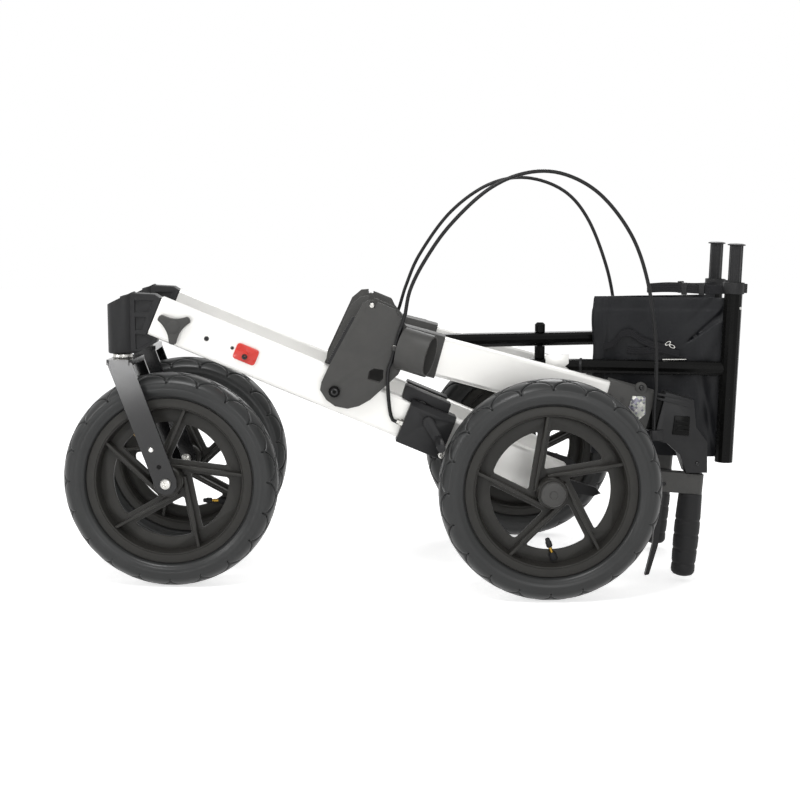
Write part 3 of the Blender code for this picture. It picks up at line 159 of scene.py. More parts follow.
def welded(name, pieces):
    """Joins several objects into one."""
    only(pieces[0])
    for other in pieces[1:]:
        other.select_set(True)
    bpy.ops.object.join()
    pieces[0].name = name
    return pieces[0]


def copy_of(piece, name):
    twin = piece.copy()
    twin.data = piece.data.copy()
    twin.name = name
    bpy.context.scene.collection.objects.link(twin)
    return twin


def moved(piece, matrix):
    """Puts the place into the mesh, so that the object stays at the origin."""
    piece.data.transform(matrix)
    if matrix.determinant() < 0:
        piece.data.flip_normals()
    return piece


def axes(origin, first, second, third):
    """The matrix that takes X, Y and Z to the given directions at the origin."""
    return Matrix.Translation(origin) @ Matrix((first, second, third)).transposed().to_4x4()


# %% [markdown]
# ## From colours to materials
# Colours are written as sRGB hex values, as a colour picker shows them, and Blender's sockets take linear
# values, so one function turns one into the other. A second small function adds any node with its settings
# and links. `start_material` gives each material its own Principled shader to hang the rest on.

# %% Helpers for materials
def linear(hex_code):
    parts = [int(hex_code[start:start + 2], 16) / 255 for start in (1, 3, 5)]
    return tuple(part / 12.92 if part <= 0.04045 else ((part + 0.055) / 1.055) ** 2.4 for part in parts) + (1.0,)


def add_node(material, kind, settings=None, inputs=None):
    """Adds a node. A value in inputs is a number or colour, or another node's output, which is linked."""
    node = material.node_tree.nodes.new(kind)
    for name, value in (settings or {}).items():
        setattr(node, name, value)
    for name, value in (inputs or {}).items():
        if isinstance(value, bpy.types.NodeSocket):
            material.node_tree.links.new(value, node.inputs[name])
        else:
            node.inputs[name].default_value = value
    return node


def start_material(name, colour, roughness, metallic=0.0, dry=0.25):
    """A material with its own shader. Dry, grained surfaces mirror less than the smooth ones, at 0.5."""
    material = bpy.data.materials.new(name)
    material.use_nodes = True
    shader = material.node_tree.nodes["Principled BSDF"]
    shader.inputs["Base Color"].default_value = linear(colour)
    shader.inputs["Roughness"].default_value = roughness
    shader.inputs["Metallic"].default_value = metallic
    if metallic == 0.0:
        shader.inputs["Specular IOR Level"].default_value = dry
    material.diffuse_color = linear(colour)
    print("material:", name)
    return material, shader


def link(material, output, socket):
    material.node_tree.links.new(output, socket)


def mottled(material, shader, dark, light, spots_mm, roughness_low, roughness_high):
    """Colour and roughness that wander a little over the surface, as on every real moulding or coat."""
    place = add_node(material, "ShaderNodeTexCoord").outputs["Object"]
    cloud = add_node(material, "ShaderNodeTexNoise", {}, {"Vector": place, "Scale": 1000 / spots_mm, "Detail": 3.0})
    tint = add_node(material, "ShaderNodeMix", {"data_type": "RGBA"},
                    {0: cloud.outputs["Fac"], 6: linear(dark), 7: linear(light)})
    link(material, tint.outputs[2], shader.inputs["Base Color"])
    shine = add_node(material, "ShaderNodeMapRange", {}, {"Value": cloud.outputs["Fac"], "To Min": roughness_low,
        "To Max": roughness_high})
    link(material, shine.outputs["Result"], shader.inputs["Roughness"])
    return place


def fine_relief(material, shader, place, grain_mm, strength, depth_mm):
    """A spark-eroded grain: tiny even bumps, drawn as coarse as they need to show."""
    grain = add_node(material, "ShaderNodeTexNoise", {}, {"Vector": place, "Scale": 1000 / grain_mm, "Detail": 2.0})
    bump = add_node(material, "ShaderNodeBump", {}, {"Height": grain.outputs["Fac"], "Strength": strength,
        "Distance": depth_mm / 1000})
    link(material, bump.outputs["Normal"], shader.inputs["Normal"])


# %% [markdown]
# ## Plastics
# Nearly all the mouldings are glass-filled nylon with a fine spark-eroded grain. The knuckles and brackets are
# a dark grey that looks soft and dry. The steering heads, brakes and handle castings are closer to black and a
# little smoother. The rims are the same grey nylon, a touch warmer. The stop catch is glossy red ABS.

# %% Moulded plastics
grey_nylon, shader = start_material("moulded_grey_nylon", "#4C4C4B", 0.5)
place = mottled(grey_nylon, shader, "#424241", "#4E4D4B", 18, 0.40, 0.52)
fine_relief(grey_nylon, shader, place, 0.9, 0.25, 0.15)

black_nylon, shader = start_material("moulded_black_nylon", "#282829", 0.45)
place = mottled(black_nylon, shader, "#1C1C1D", "#272728", 15, 0.36, 0.50)
fine_relief(black_nylon, shader, place, 0.8, 0.22, 0.12)

rim_nylon, shader = start_material("moulded_rim_nylon", "#3B3A37", 0.45)
place = mottled(rim_nylon, shader, "#282725", "#33322F", 22, 0.36, 0.48)
fine_relief(rim_nylon, shader, place, 0.9, 0.22, 0.12)

red_abs, shader = start_material("glossy_red_abs", "#D42A1C", 0.28, dry=0.4)
place = mottled(red_abs, shader, "#CC2418", "#DE3424", 10, 0.22, 0.34)
fine_relief(red_abs, shader, place, 1.2, 0.08, 0.1)
shader.inputs["Coat Weight"].default_value = 0.3

# %% [markdown]
# ## Metals
# The beams are aluminium extrusions with a satin anodised skin. Anodising turns bare metal slightly milky, so
# the surface is not quite a mirror metal, and the die leaves faint lines along it that show at a low angle.
# The forks and tubes are steel with black powder coat, the forks glossy enough to mirror the studio. Bolts are
# zinc-plated steel, and the valve stems are brass.

# %% Anodised aluminium
anodised, shader = start_material("satin_anodised_aluminium", "#E4E3E0", 0.38, 0.55)
place = mottled(anodised, shader, "#E8E7E3", "#F2F1EE", 60, 0.34, 0.42)
die_lines = add_node(anodised, "ShaderNodeMapping", {}, {"Vector": place, "Scale": (30.0, 2500.0, 2500.0)})
lines = add_node(anodised, "ShaderNodeTexNoise", {}, {"Vector": die_lines.outputs["Vector"], "Scale": 1.0})
bump = add_node(anodised, "ShaderNodeBump", {}, {"Height": lines.outputs["Fac"], "Strength": 0.03,
    "Distance": 0.0001})
link(anodised, bump.outputs["Normal"], shader.inputs["Normal"])

# %% Coated and plated steel
gloss_coat, shader = start_material("glossy_black_powder_coat", "#0E0E0E", 0.16, dry=0.3)
place = mottled(gloss_coat, shader, "#0F0F10", "#161617", 25, 0.12, 0.2)
fine_relief(gloss_coat, shader, place, 2.5, 0.06, 0.08)
shader.inputs["Coat Weight"].default_value = 0.25
shader.inputs["Coat Roughness"].default_value = 0.12

satin_coat, shader = start_material("satin_black_powder_coat", "#0C0C0C", 0.3, dry=0.1)
place = mottled(satin_coat, shader, "#090909", "#0F0F0E", 20, 0.22, 0.32)
fine_relief(satin_coat, shader, place, 1.6, 0.12, 0.1)

plated, shader = start_material("zinc_plated_steel", "#C9C8C3", 0.28, 1.0)
place = mottled(plated, shader, "#BDBBB6", "#D4D3CF", 6, 0.2, 0.36)

brass, shader = start_material("turned_brass", "#B8923F", 0.25, 1.0)
mottled(brass, shader, "#A88334", "#C8A24C", 3, 0.2, 0.34)

# %% [markdown]
# ## Rubber and cable
# Tyre rubber is black with a faint grey bloom, matt on the tread and a little shinier on the sidewall. The
# grips are softer and duller. The brake cable has a smooth vinyl jacket over a wound steel sleeve, whose turns
# show through as a fine twist.

# %% Rubbers
tyre_rubber, shader = start_material("air_tyre_rubber", "#1B1B1C", 0.42, dry=0.4)
place = mottled(tyre_rubber, shader, "#1B1C1C", "#272828", 30, 0.28, 0.42)
fine_relief(tyre_rubber, shader, place, 1.1, 0.25, 0.15)
shader.inputs["Sheen Weight"].default_value = 0.08

grip_rubber, shader = start_material("soft_grip_rubber", "#242425", 0.6)
place = mottled(grip_rubber, shader, "#1A1A1B", "#242425", 12, 0.52, 0.68)
fine_relief(grip_rubber, shader, place, 0.8, 0.35, 0.2)

jacket, shader = start_material("vinyl_cable_jacket", "#161617", 0.32)
place = mottled(jacket, shader, "#121213", "#1B1B1C", 8, 0.26, 0.38)
twist = add_node(jacket, "ShaderNodeTexWave", {"wave_type": "BANDS", "bands_direction": "DIAGONAL"},
                 {"Vector": place, "Scale": 110.0})
bump = add_node(jacket, "ShaderNodeBump", {}, {"Height": twist.outputs["Fac"], "Strength": 0.12, "Distance": 0.0003})
link(jacket, bump.outputs["Normal"], shader.inputs["Normal"])

# %% [markdown]
# ## Cloth
# The seat is a plain-woven nylon with a coated back, near black with a blue cast. Its threads are about a
# third of a millimetre apart, too fine for this picture, so the weave is drawn at one millimetre. Both the
# weave and the webbing follow the cloth through its own UV map, in metres, so they bend with it. In both, the
# thread crossings are painted lighter: a painted highlight on the raised weave, stronger in some patches.

# %% Woven materials
def woven(name, dark, light, thread_mm, roughness, relief):
    material, shader = start_material(name, dark, roughness)
    cloth_uv = add_node(material, "ShaderNodeUVMap", {"uv_map": "weave"}).outputs["UV"]
    shader.inputs["Sheen Weight"].default_value = 0.08
    shader.inputs["Sheen Roughness"].default_value = 0.4
    threads = []
    for direction in ("X", "Y"):
        threads.append(add_node(material, "ShaderNodeTexWave", {"wave_type": "BANDS", "bands_direction": direction},
            {"Vector": cloth_uv, "Scale": 1000 / thread_mm / 6.2832, "Distortion": 0.6, "Detail": 1.0}))
    # Painted highlight: the thread crossings, where the weave stands highest, get the lighter colour, in patches from
    # a noise.
    crossing = add_node(material, "ShaderNodeMath", {"operation": "MULTIPLY"}, {0: threads[0].outputs["Fac"],
        1: threads[1].outputs["Fac"]})
    highlight_patches = add_node(material, "ShaderNodeTexNoise", {}, {"Vector": cloth_uv, "Scale": 26.0, "Detail": 4.0})
    share = add_node(material, "ShaderNodeMath", {"operation": "MULTIPLY"},
                     {0: crossing.outputs["Value"], 1: highlight_patches.outputs["Fac"]})
    tint = add_node(material, "ShaderNodeMix", {"data_type": "RGBA"},
                    {0: share.outputs["Value"], 6: linear(dark), 7: linear(light)})
    link(material, tint.outputs[2], shader.inputs["Base Color"])
    bump = add_node(material, "ShaderNodeBump", {}, {"Height": crossing.outputs["Value"], "Strength": relief,
        "Distance": 0.0003})
    link(material, bump.outputs["Normal"], shader.inputs["Normal"])
    return material


seat_nylon = woven("coated_seat_nylon", "#090A0D", "#1A1D25", 1.0, 0.42, 0.35)
webbing = woven("woven_strap_webbing", "#0C0C0F", "#1C1C21", 1.6, 0.6, 0.8)

# %% [markdown]
# ## Materials on the CAD pieces
# The record names a material slot for every CAD node. Each slot gets its material here, and so do the nodes
# whose CAD shape is shown as it is.

# %% Assign the slots
FINISH = {
    "satin_aluminium": anodised, "grey_polymer": grey_nylon, "black_polymer": black_nylon,
    "gloss_black_steel": gloss_coat, "matt_black_steel": satin_coat, "bright_steel": plated,
    "tyre_rubber": tyre_rubber, "grip_rubber": grip_rubber, "rim_polymer": rim_nylon,
    "red_polymer": red_abs, "black_fabric": seat_nylon, "cable_jacket": jacket,
}
for row in frame["record"]["subparts"]:
    for material_slot in nodes[row["node"]].material_slots:
        material_slot.material = FINISH[row["material_slot"]]


def dress(piece, body, material, smooth=35):
    """Gives a finished piece its material and hangs it on a CAD body, if it has just one."""
    only(piece)
    bpy.ops.object.shade_smooth_by_angle(angle=math.radians(smooth))
    piece.data.materials.clear()
    piece.data.materials.append(material)
    if body:
        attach(piece, body)
    print(piece.name, "has", len(piece.data.polygons), "faces")
    return piece


# %% [markdown]
# ## Brake cables
# Each brake lever pulls a steel wire inside a stiff sleeve. The sleeve leaves the guide on the knuckle, stands
# up in a tall arch, because it is made for the handle's full height, and drops into the port of the casting.
# A second short run goes from the guide down into the brake. Both runs show from end to end, so their lengths
# are the lengths of these routes. A curve with a round bevel is the plain way to draw them.

# %% Brake cables
CABLE_DIAMETER = 0.0055
SIDE_Y = 0.110
GUIDE_AT, GUIDE_HALF = Vector((-0.0189, 0.3545)), 0.0038
GUIDE_LEAN = math.radians(15)
GUIDE_Y, PORT_Y = 0.1435, 0.1335
PORT_X, PORT_TOP = 0.3615, 0.2323
RUN_IN = 0.016
CREST = {
    "left": [(-0.0050, 0.4000), (0.0029, 0.4385), (0.0245, 0.4816), (0.0603, 0.5316), (0.1138, 0.5814),
             (0.1674, 0.6053), (0.2212, 0.6048), (0.2756, 0.5761), (0.3218, 0.5190), (0.3474, 0.4525),
             (0.3612, 0.3690), (0.3635, 0.3000)],
    "right": [(-0.0055, 0.3960), (0.0055, 0.4315), (0.0278, 0.4821), (0.0763, 0.5485), (0.1367, 0.5926),
              (0.1974, 0.6046), (0.2584, 0.5846), (0.2997, 0.5384), (0.3317, 0.4595), (0.3470, 0.3850),
              (0.3575, 0.3100)],
}
BEND = [(-0.0292, 0.3200), (-0.0285, 0.2830)]
ENTRY, ENTRY_Y = [(-0.0228, 0.2498), (-0.0080, 0.2436)], 0.1345


def run_length(places):
    return sum((q - p).length for p, q in zip(places, places[1:]))

def smooth_route(points, step):
    """Even steps along a smooth curve through the points."""
    places = [Vector(point) for point in points]
    ends = [places[0] * 2 - places[1]] + places + [places[-1] * 2 - places[-2]]
    fine = []
    for a, b, c, d in zip(ends, ends[1:], ends[2:], ends[3:]):
        for part in range(20):
            t = part / 20
            fine.append(0.5 * ((2 * b) + (c - a) * t + (2 * a - 5 * b + 4 * c - d) * t * t
                               + (3 * b - a - 3 * c + d) * t * t * t))
    fine.append(places[-1])
    total = run_length(fine)
    count = max(4, round(total / step))
    chosen, run = [fine[0]], 0.0
    for p, q in zip(fine, fine[1:]):
        run += (q - p).length
        if run >= total * len(chosen) / count - 1e-9 and len(chosen) < count:
            chosen.append(q)
    return chosen + [fine[-1]]


def cable(name, node, body, points):
    curve = bpy.data.curves.new(name, "CURVE")
    curve.dimensions = "3D"
    curve.bevel_depth = CABLE_DIAMETER / 2
    curve.bevel_resolution = 4
    curve.use_fill_caps = True
    places = smooth_route(points, 0.008)
    spline = curve.splines.new("POLY")
    spline.points.add(len(places) - 1)
    for point, place in zip(spline.points, places):
        point.co = (*place, 1)
    piece = bpy.data.objects.new(name, curve)
    bpy.context.scene.collection.objects.link(piece)
    curve.materials.append(jacket)
    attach(piece, body)
    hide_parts(node)


for hand, side in SIDES.items():
    lean = Vector((math.sin(GUIDE_LEAN), math.cos(GUIDE_LEAN)))
    above, below = ([tuple(GUIDE_AT + lean * way * (GUIDE_HALF + run)) for run in (0, RUN_IN)] for way in (1, -1))
    route = above + CREST[hand] + [(PORT_X, PORT_TOP + rise * RUN_IN) for rise in (2, 1, 0)]
    upper = []
    for x, z in route:
        share = (x - route[0][0]) / (PORT_X - route[0][0])
        upper.append((x, side * (GUIDE_Y + (PORT_Y - GUIDE_Y) * share), z))
    cable("brake_cable_upper_" + hand, "cable_upper_" + hand, "upright_" + hand, upper)
    lower = [(x, side * GUIDE_Y, z) for x, z in below + BEND] + [(x, side * ENTRY_Y, z) for x, z in ENTRY]
    cable("brake_cable_lower_" + hand, "cable_lower_" + hand, "chassis_" + hand, lower)

# %% [markdown]
# ## Tyres
# The tyre is a 12 1/2 inch air tyre. Its tread is cut by arcs like fish scales, twenty to a turn, which meet in
# short radial stems on the shoulder. One tyre is modelled lying on its side at the origin: the cross-section is
# spun in fine steps, and then the points are pushed in along the grooves by code, as a sculpting brush would.

# %% One tyre
TYRE_RADIUS, SHOULDER, HALF_WIDTH = 0.159, 0.1405, 0.0272
SCALES = 20
JUNCTION, PEAK = 0.0275, 0.0125
GROOVE_DEPTH, STEP_DEPTH, RING_HEIGHT = 0.0030, 0.0008, 0.0004


def ridge(distance, width):
    """1 on a line and fading to both sides of it."""
    return np.exp(-(distance / width) ** 2)
tread = [(SHOULDER + (TYRE_RADIUS - SHOULDER) * math.cos(math.radians(angle)),
          HALF_WIDTH * math.sin(math.radians(angle))) for angle in np.linspace(0, 90, 36)]
wall = [(0.1385, 0.0273), (0.1365, 0.0272), (0.1345, 0.0268), (0.1325, 0.0262), (0.1310, 0.0258), (0.1300, 0.0250),
        (0.1280, 0.0240), (0.1262, 0.0228), (0.1248, 0.0214), (0.1238, 0.0200), (0.1230, 0.0188), (0.1228, 0.0166)]
inside = [(0.1198, 0.0166), (0.1198, 0.0128), (0.1500, 0.0)]
outer_half = tread + wall + inside
tyre = spun("tyre", outer_half + [(radius, -height) for radius, height in reversed(outer_half[1:-1])], steps=800)

coords = np.array([vertex.co for vertex in tyre.data.vertices])
radius = np.hypot(coords[:, 0], coords[:, 1])
turn = np.arctan2(coords[:, 1], coords[:, 0])
height = coords[:, 2]
# Distance over the tread from its middle, looked up from the height
lookup = np.array(tread)
run = np.concatenate([[0], np.cumsum(np.hypot(np.diff(lookup[:, 0]), np.diff(lookup[:, 1])))])
over = np.interp(np.abs(height), lookup[:, 1], run)
on_tread = (radius > SHOULDER - 0.004) & (np.abs(height) < HALF_WIDTH + 0.001)
on_tread &= ~((radius < 0.1505) & (np.abs(height) < 0.010))
# The scales: how far round its scale a point is, and how far from the scale's arc
phase = (turn / (2 * math.pi) * SCALES + np.where(height < 0, 0.5, 0.0)) % 1.0
arc_step = 2 * math.pi * TYRE_RADIUS / SCALES
scale_line = JUNCTION - (JUNCTION - PEAK) * np.sin(math.pi * phase) ** 0.75
samples = np.linspace(0, 1, 400)
slope = np.gradient(JUNCTION - (JUNCTION - PEAK) * np.sin(math.pi * samples) ** 0.75, arc_step / 399)
steepness = np.interp(phase, samples, slope)
groove = ridge(np.abs(over - scale_line) / np.sqrt(1 + np.clip(steepness, -3, 3) ** 2), 0.0010)
stem = ridge(np.minimum(phase, 1 - phase) * arc_step, 0.0010) * (over > JUNCTION - 0.001) * (over < JUNCTION + 0.0045)
inner_line = PEAK - 0.004 - 0.0085 * np.sin(math.pi * ((phase + 0.5) % 1.0)) ** 0.8
inner = ridge(over - inner_line, 0.0012)
tick = ridge(over - 0.0092, 0.0009) * (np.abs(phase - 0.62) < 0.09) * (np.abs(phase - 0.62) > 0.02)
shoulder_step = 1 / (1 + np.exp(-(over - JUNCTION - 0.005) / 0.0004)) * (radius > SHOULDER - 0.0008)
depth = (np.clip(groove + stem + 0.8 * inner + tick, 0, 1) * GROOVE_DEPTH + shoulder_step * STEP_DEPTH) * on_tread
inwards = np.stack([coords[:, 0] / radius * 0.75, coords[:, 1] / radius * 0.75, np.sign(height) * 0.66], axis=1)
coords -= inwards * depth[:, None]
# Moulded rings on the sidewall
ring = ridge(radius - 0.1345, 0.0006) + ridge(radius - 0.1262, 0.0006)
coords[:, 2] += np.sign(height) * ring * RING_HEIGHT * (np.abs(height) > 0.018)
tyre.data.vertices.foreach_set("co", coords.ravel())
tyre.data.update()
print("tyre points:", len(tyre.data.vertices))

# %% [markdown]
# ## Rims
# The rim is one moulding: a deep ring, a thin web with five round-cornered windows, and five tall ribs that
# leave the hub on a slant, each tangent to it. The ring and hub are spun. The web is a disc, and each window is
# a three-cornered block with rounded corners that is cut out of it. The ribs stand on the web on both faces.

# %% One rim
RIB_OFFSET, STRIP_HALF = 0.0223, 0.0085
WINDOW_RADIUS, RIB_REACH = 0.0860, 0.1085


def both_ends(half):
    """A lower half of a profile and its mirror image above."""
    return half + [(radius, -height) for radius, height in reversed(half)]


def circle_of_points(radius, count, x=0.0, y=0.0):
    return [(x + radius * math.cos(turn), y + radius * math.sin(turn))
            for turn in np.linspace(0, 2 * math.pi, count, endpoint=False)]


def heading(angle):
    """The direction at an angle in the plane."""
    return Vector((math.cos(angle), math.sin(angle)))


def left_of(way):
    return Vector((-way.y, way.x))
def rim(name, hub_half, bore, rib_angle):
    ring_half = [(0.1225, 0.0178), (0.1222, 0.0192), (0.1212, 0.0199), (0.1106, 0.0197), (0.1101, 0.0190),
        (0.1095, 0.0190), (0.1090, 0.0197), (0.1080, 0.0193), (0.1070, 0.0170), (0.1058, 0.0062), (0.1050, 0.0030)]
    ring = spun(name + "_ring", both_ends(ring_half) + both_ends([(0.1197, -0.0168), (0.1158, -0.0090)]), steps=128)
    hub = spun(name + "_hub", both_ends([(bore, -hub_half), (0.0200, -hub_half), (0.0212, -hub_half + 0.0012),
        (0.0216, -hub_half + 0.004)]), steps=64)
    web = block(name + "_web", circle_of_points(0.1065, 128), -0.0032, 0.0032)
    near, far = RIB_OFFSET + STRIP_HALF, RIB_OFFSET - STRIP_HALF
    ribs = []
    for number in range(5):
        angle = rib_angle + math.radians(72) * number
        along, next_along = heading(angle), heading(angle + math.radians(72))
        side_way, next_side = left_of(along), left_of(next_along)
        start = side_way * near + along * math.sqrt(WINDOW_RADIUS ** 2 - near ** 2)
        stop = next_side * far + next_along * math.sqrt(WINDOW_RADIUS ** 2 - far ** 2)
        corner = side_way * near + along * ((far - near * next_side.dot(side_way)) / next_side.dot(along))
        low, high = math.atan2(start.y, start.x), math.atan2(stop.y, stop.x)
        if high < low:
            high += 2 * math.pi
        arc = [(WINDOW_RADIUS * math.cos(step), WINDOW_RADIUS * math.sin(step)) for step in np.linspace(low, high, 14)]
        carve(web, round_edges(block("window", [tuple(corner)] + arc, -0.02, 0.02), 0.0055, 4, angle=40))
        ends = [side_way * RIB_OFFSET + along * run for run in (-0.002, math.sqrt(RIB_REACH ** 2 - RIB_OFFSET ** 2))]
        half = side_way * 0.0022
        outline = [tuple(point) for point in (ends[0] - half, ends[1] - half, ends[1] + half, ends[0] + half)]
        ribs.append(round_edges(block("rib", outline, -0.0172, 0.0172), 0.0008, 2))
    round_edges(web, 0.0010, 2, angle=50)
    return welded(name, [ring, web, hub] + ribs)


front_rim = rim("front_rim_model", 0.031, 0.0063, math.radians(-7.0))
rear_rim = rim("rear_rim_model", 0.033, 0.0083, math.radians(9.3))

# %% [markdown]
# ## Wheels in their places
# Each wheel is a copy with its own mesh. A wheel of the right side is the same part turned round, so the slant of
# its ribs mirrors. The left front wheel stands four degrees off straight about its steering axis.

# %% Place the wheels
STEER_X, AXLE_Z = -0.4166, 0.159
REST_TURN = {"left": math.radians(-4), "right": 0.0}
WHEELS = {"front": (-0.3483, 0.110), "rear": (0.1999, 0.215)}


def outwards(x, y, z, side):
    """A place on an outer side of the frame, facing outwards."""
    return axes((x, side * y, z), (-side, 0, 0), (0, 0, 1), (0, side, 0))
def steered(hand):
    """The turn of a front wheel about its upright steering axis at rest."""
    pivot = Vector((STEER_X, SIDES[hand] * SIDE_Y, 0))
    return Matrix.Translation(pivot) @ Matrix.Rotation(REST_TURN[hand], 4, "Z") @ Matrix.Translation(-pivot)


def wheel_place(end, hand):
    place = outwards(*WHEELS[end], AXLE_Z, SIDES[hand])
    return steered(hand) @ place if end == "front" else place


for end, rim_model in (("front", front_rim), ("rear", rear_rim)):
    for hand in SIDES:
        body = end + "_wheel_" + hand
        place = wheel_place(end, hand)
        dressed_tyre = dress(moved(copy_of(tyre, end + "_air_tyre_" + hand), place), body, tyre_rubber,
            60)
        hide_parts(end + "_tyre_" + hand)
        dressed_rim = dress(moved(copy_of(rim_model, end + "_five_rib_rim_" + hand), place), body, rim_nylon,
            40)
        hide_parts(end + "_rim_" + hand)
for model in (tyre, front_rim, rear_rim):
    bpy.data.objects.remove(model, do_unlink=True)

# %% [markdown]
# ## Valves
# Each inner tube has a bent brass valve with a black cap, which sticks out between the ribs. It is short, so it
# is drawn as three turned parts on one line: a rubber foot, the brass stem and the ribbed cap.

# %% Valves
VALVE_PARTS = (
    ("_foot", [(0, -0.006), (0.0060, -0.006), (0.0056, 0.002), (0.0034, 0.006), (0, 0.006)], 20, grip_rubber, 35),
    ("_stem", [(0, 0.004), (0.0027, 0.004), (0.0027, 0.0135), (0.0022, 0.014), (0.0022, 0.018), (0, 0.018)], 20,
     brass, 35),
    ("_cap", [(0, 0.0165), (0.0042, 0.0165), (0.0045, 0.0175), (0.0045, 0.024), (0.0036, 0.026), (0.0034, 0.0295),
              (0.0022, 0.0305), (0, 0.0305)], 12, black_nylon, 20))
# Foot and tip of each valve, in the wheel's own plane: (forward, up, outward)
for end, hand, foot, tip in (("rear", "left", (0.004, -0.0935, 0.004), (-0.008, -0.060, 0.018)), ("rear", "right",
    (-0.080, -0.038, -0.004), (-0.052, -0.008, -0.020)), ("front", "right", (-0.052, -0.076, -0.004),
    (-0.015, -0.073, -0.016)), ("front", "left", (-0.060, 0.072, -0.004), (-0.038, 0.048, -0.016))):
    way = (Vector(tip) - Vector(foot)).normalized()
    across = way.cross(Vector((0, 0, 1))).normalized()
    place = wheel_place(end, hand) @ axes(foot, across, way.cross(across), way)
    for part, profile, steps, material, smooth in VALVE_PARTS:
        piece = moved(spun(end + "_valve_" + hand + part, profile, steps), place)
        dress(piece, end + "_wheel_" + hand, material, smooth=smooth)

# %% [markdown]
# ## Hub caps and axle bolts
# The rear hubs end in round pressed caps with a small boss, dark like the rims. The front axles are plated
# bolts with a cross recess in a domed head. A spun head with two crossed bars cut out of it gives both.

# %% Hub caps
for hand in SIDES:
    cap = spun("hub_cap_" + hand, [(0, 0.0332), (0.0172, 0.0332), (0.0178, 0.0345), (0.0176, 0.0372),
        (0.0165, 0.0392), (0.0140, 0.0403), (0.0080, 0.0410), (0.0060, 0.0412), (0.0052, 0.0402), (0, 0.0402)], 48)
    dress(moved(cap, wheel_place("rear", hand)), "chassis_" + hand, grey_nylon, smooth=30)


# %% Screws
def oblong(left, right, low, high):
    return [(left, low), (right, low), (right, high), (left, high)]


def cross_head(name, radius, dome):
    """A domed screw head that faces +Z, with a cross recess."""
    head = spun(name, [(0, -0.0015), (radius, -0.0015), (radius, dome * 0.35), (radius * 0.86, dome * 0.75),
                       (radius * 0.5, dome), (0, dome)], 32)
    for turn in (20, 110):
        bar = block("bar", oblong(-radius * 0.6, radius * 0.6, -radius * 0.13, radius * 0.13), dome * 0.25, dome * 2)
        carve(head, moved(bar, Matrix.Rotation(math.radians(turn), 4, "Z")))
    return head


def socket_head(name, radius, dome):
    """A domed screw head that faces +Z, with a hexagon socket."""
    head = spun(name, [(0, -0.0015), (radius, -0.0015), (radius, dome * 0.3), (radius * 0.85, dome * 0.8),
                       (radius * 0.62, dome), (0, dome)], 32)
    return carve(head, block("socket", circle_of_points(radius * 0.46, 6), dome * 0.1, dome * 2))


# %% Front axles
LEG_OUT = 0.0425
FORK_DOT = [(0, -0.001), (0.0034, -0.001), (0.0034, 0.0004), (0.0026, 0.0010), (0, 0.0010)]
for hand, side in SIDES.items():
    axle_x = WHEELS["front"][0]
    parts = []
    for way in (-1, 1):
        head_y = side * (SIDE_Y + way * (LEG_OUT + 0.0018))
        place = axes((axle_x, head_y, AXLE_Z), (-side, 0, 0), (0, 0, 1), (0, side * way, 0))
        parts.append(moved(cross_head("head", 0.0080, 0.0042), place))
    shaft = spun("shaft", oblong(0, 0.006, -LEG_OUT - 0.001, LEG_OUT + 0.001), 24)
    parts.append(moved(shaft, outwards(axle_x, SIDE_Y, AXLE_Z, side)))
    bolt = welded("front_axle_bolt_" + hand, parts)
    dress(moved(bolt, steered(hand)), "fork_" + hand, plated, 30)
    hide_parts("front_axle_" + hand)
    # On each fork leg: a plated rivet, and a dark disc that is painted shade standing in for a hole in the leg.
    for label, x, z, material in (("rivet", -0.3689, 0.2089, plated), ("hole_plug", -0.3579, 0.1839, satin_coat)):
        dot = spun("fork_" + label + "_" + hand, FORK_DOT, 20)
        place = steered(hand) @ outwards(x, SIDE_Y + LEG_OUT, z, side)
        dress(moved(dot, place), "fork_" + hand, material)

# %% [markdown]
# ## Star knob
# The hand screw at the front end of the beam has three slim arms with concave flanks. Its outline runs along one
# arm's blunt end, then on a curve through the waist to the next arm. A Bevel rounds it off.

# %% Star knobs
KNOB_X, KNOB_Z = -0.3387, 0.3854
for hand, side in SIDES.items():
    outline = []
    for number in range(3):
        arm, next_arm = (heading(math.radians(25 + 120 * turn)) for turn in (number, number + 1))
        flank, next_flank = left_of(arm), left_of(next_arm)
        tip = [arm * 0.0255 + flank * 0.0052 * share - arm * 0.0012 * (abs(share) > 0.5)
               for share in (-0.85, -0.4, 0.4, 0.85)]
        waist_start, waist_end = arm * 0.0235 + flank * 0.0050, next_arm * 0.0235 - next_flank * 0.0050
        middle = (arm + next_arm).normalized() * 0.0080
        curve = [waist_start * (1 - t) ** 2 + middle * 2 * t * (1 - t) + waist_end * t ** 2
                 for t in np.linspace(0, 1, 14)]
        outline += [tuple(point) for point in tip + curve]
    knob = round_edges(block("knob", outline, 0.0, 0.0115), 0.0016, 3, 50)
    hub = spun("knob_hub", [(0, -0.0017), (0.0085, -0.0017), (0.0085, 0.0005), (0.0095, 0.0005), (0.0095, 0.0118),
        (0.0080, 0.0128), (0, 0.0128)], 32)
    knob = welded("star_knob_cap_" + hand, [knob, hub])
    place = outwards(KNOB_X, SIDE_Y + 0.0170, KNOB_Z, side)
    dress(moved(knob, place), "knob_" + hand, grey_nylon)
    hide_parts("star_knob_" + hand)

# %% [markdown]
# ## Drawing from the side
# Most of the frame's mouldings are shapes seen from the side with some thickness. `flat` turns such a drawing
# upright and mirrors it for the right side, so each one is drawn once. Many CAD nodes already have the right
# form but with knife edges. `softened` merges a copy of such a node and rounds its edges as a mould would.

# %% Helpers for side drawings
def flat(side):
    """Takes (x, z, distance from the middle plane) to its place on one side of the frame."""
    return Matrix(((1, 0, 0, 0), (0, 0, side, 0), (0, 1, 0, 0), (0, 0, 0, 1)))


def plate(name, outline, low, high, edge=0.0008, segments=2):
    return round_edges(block(name, outline, low, high), edge, segments)


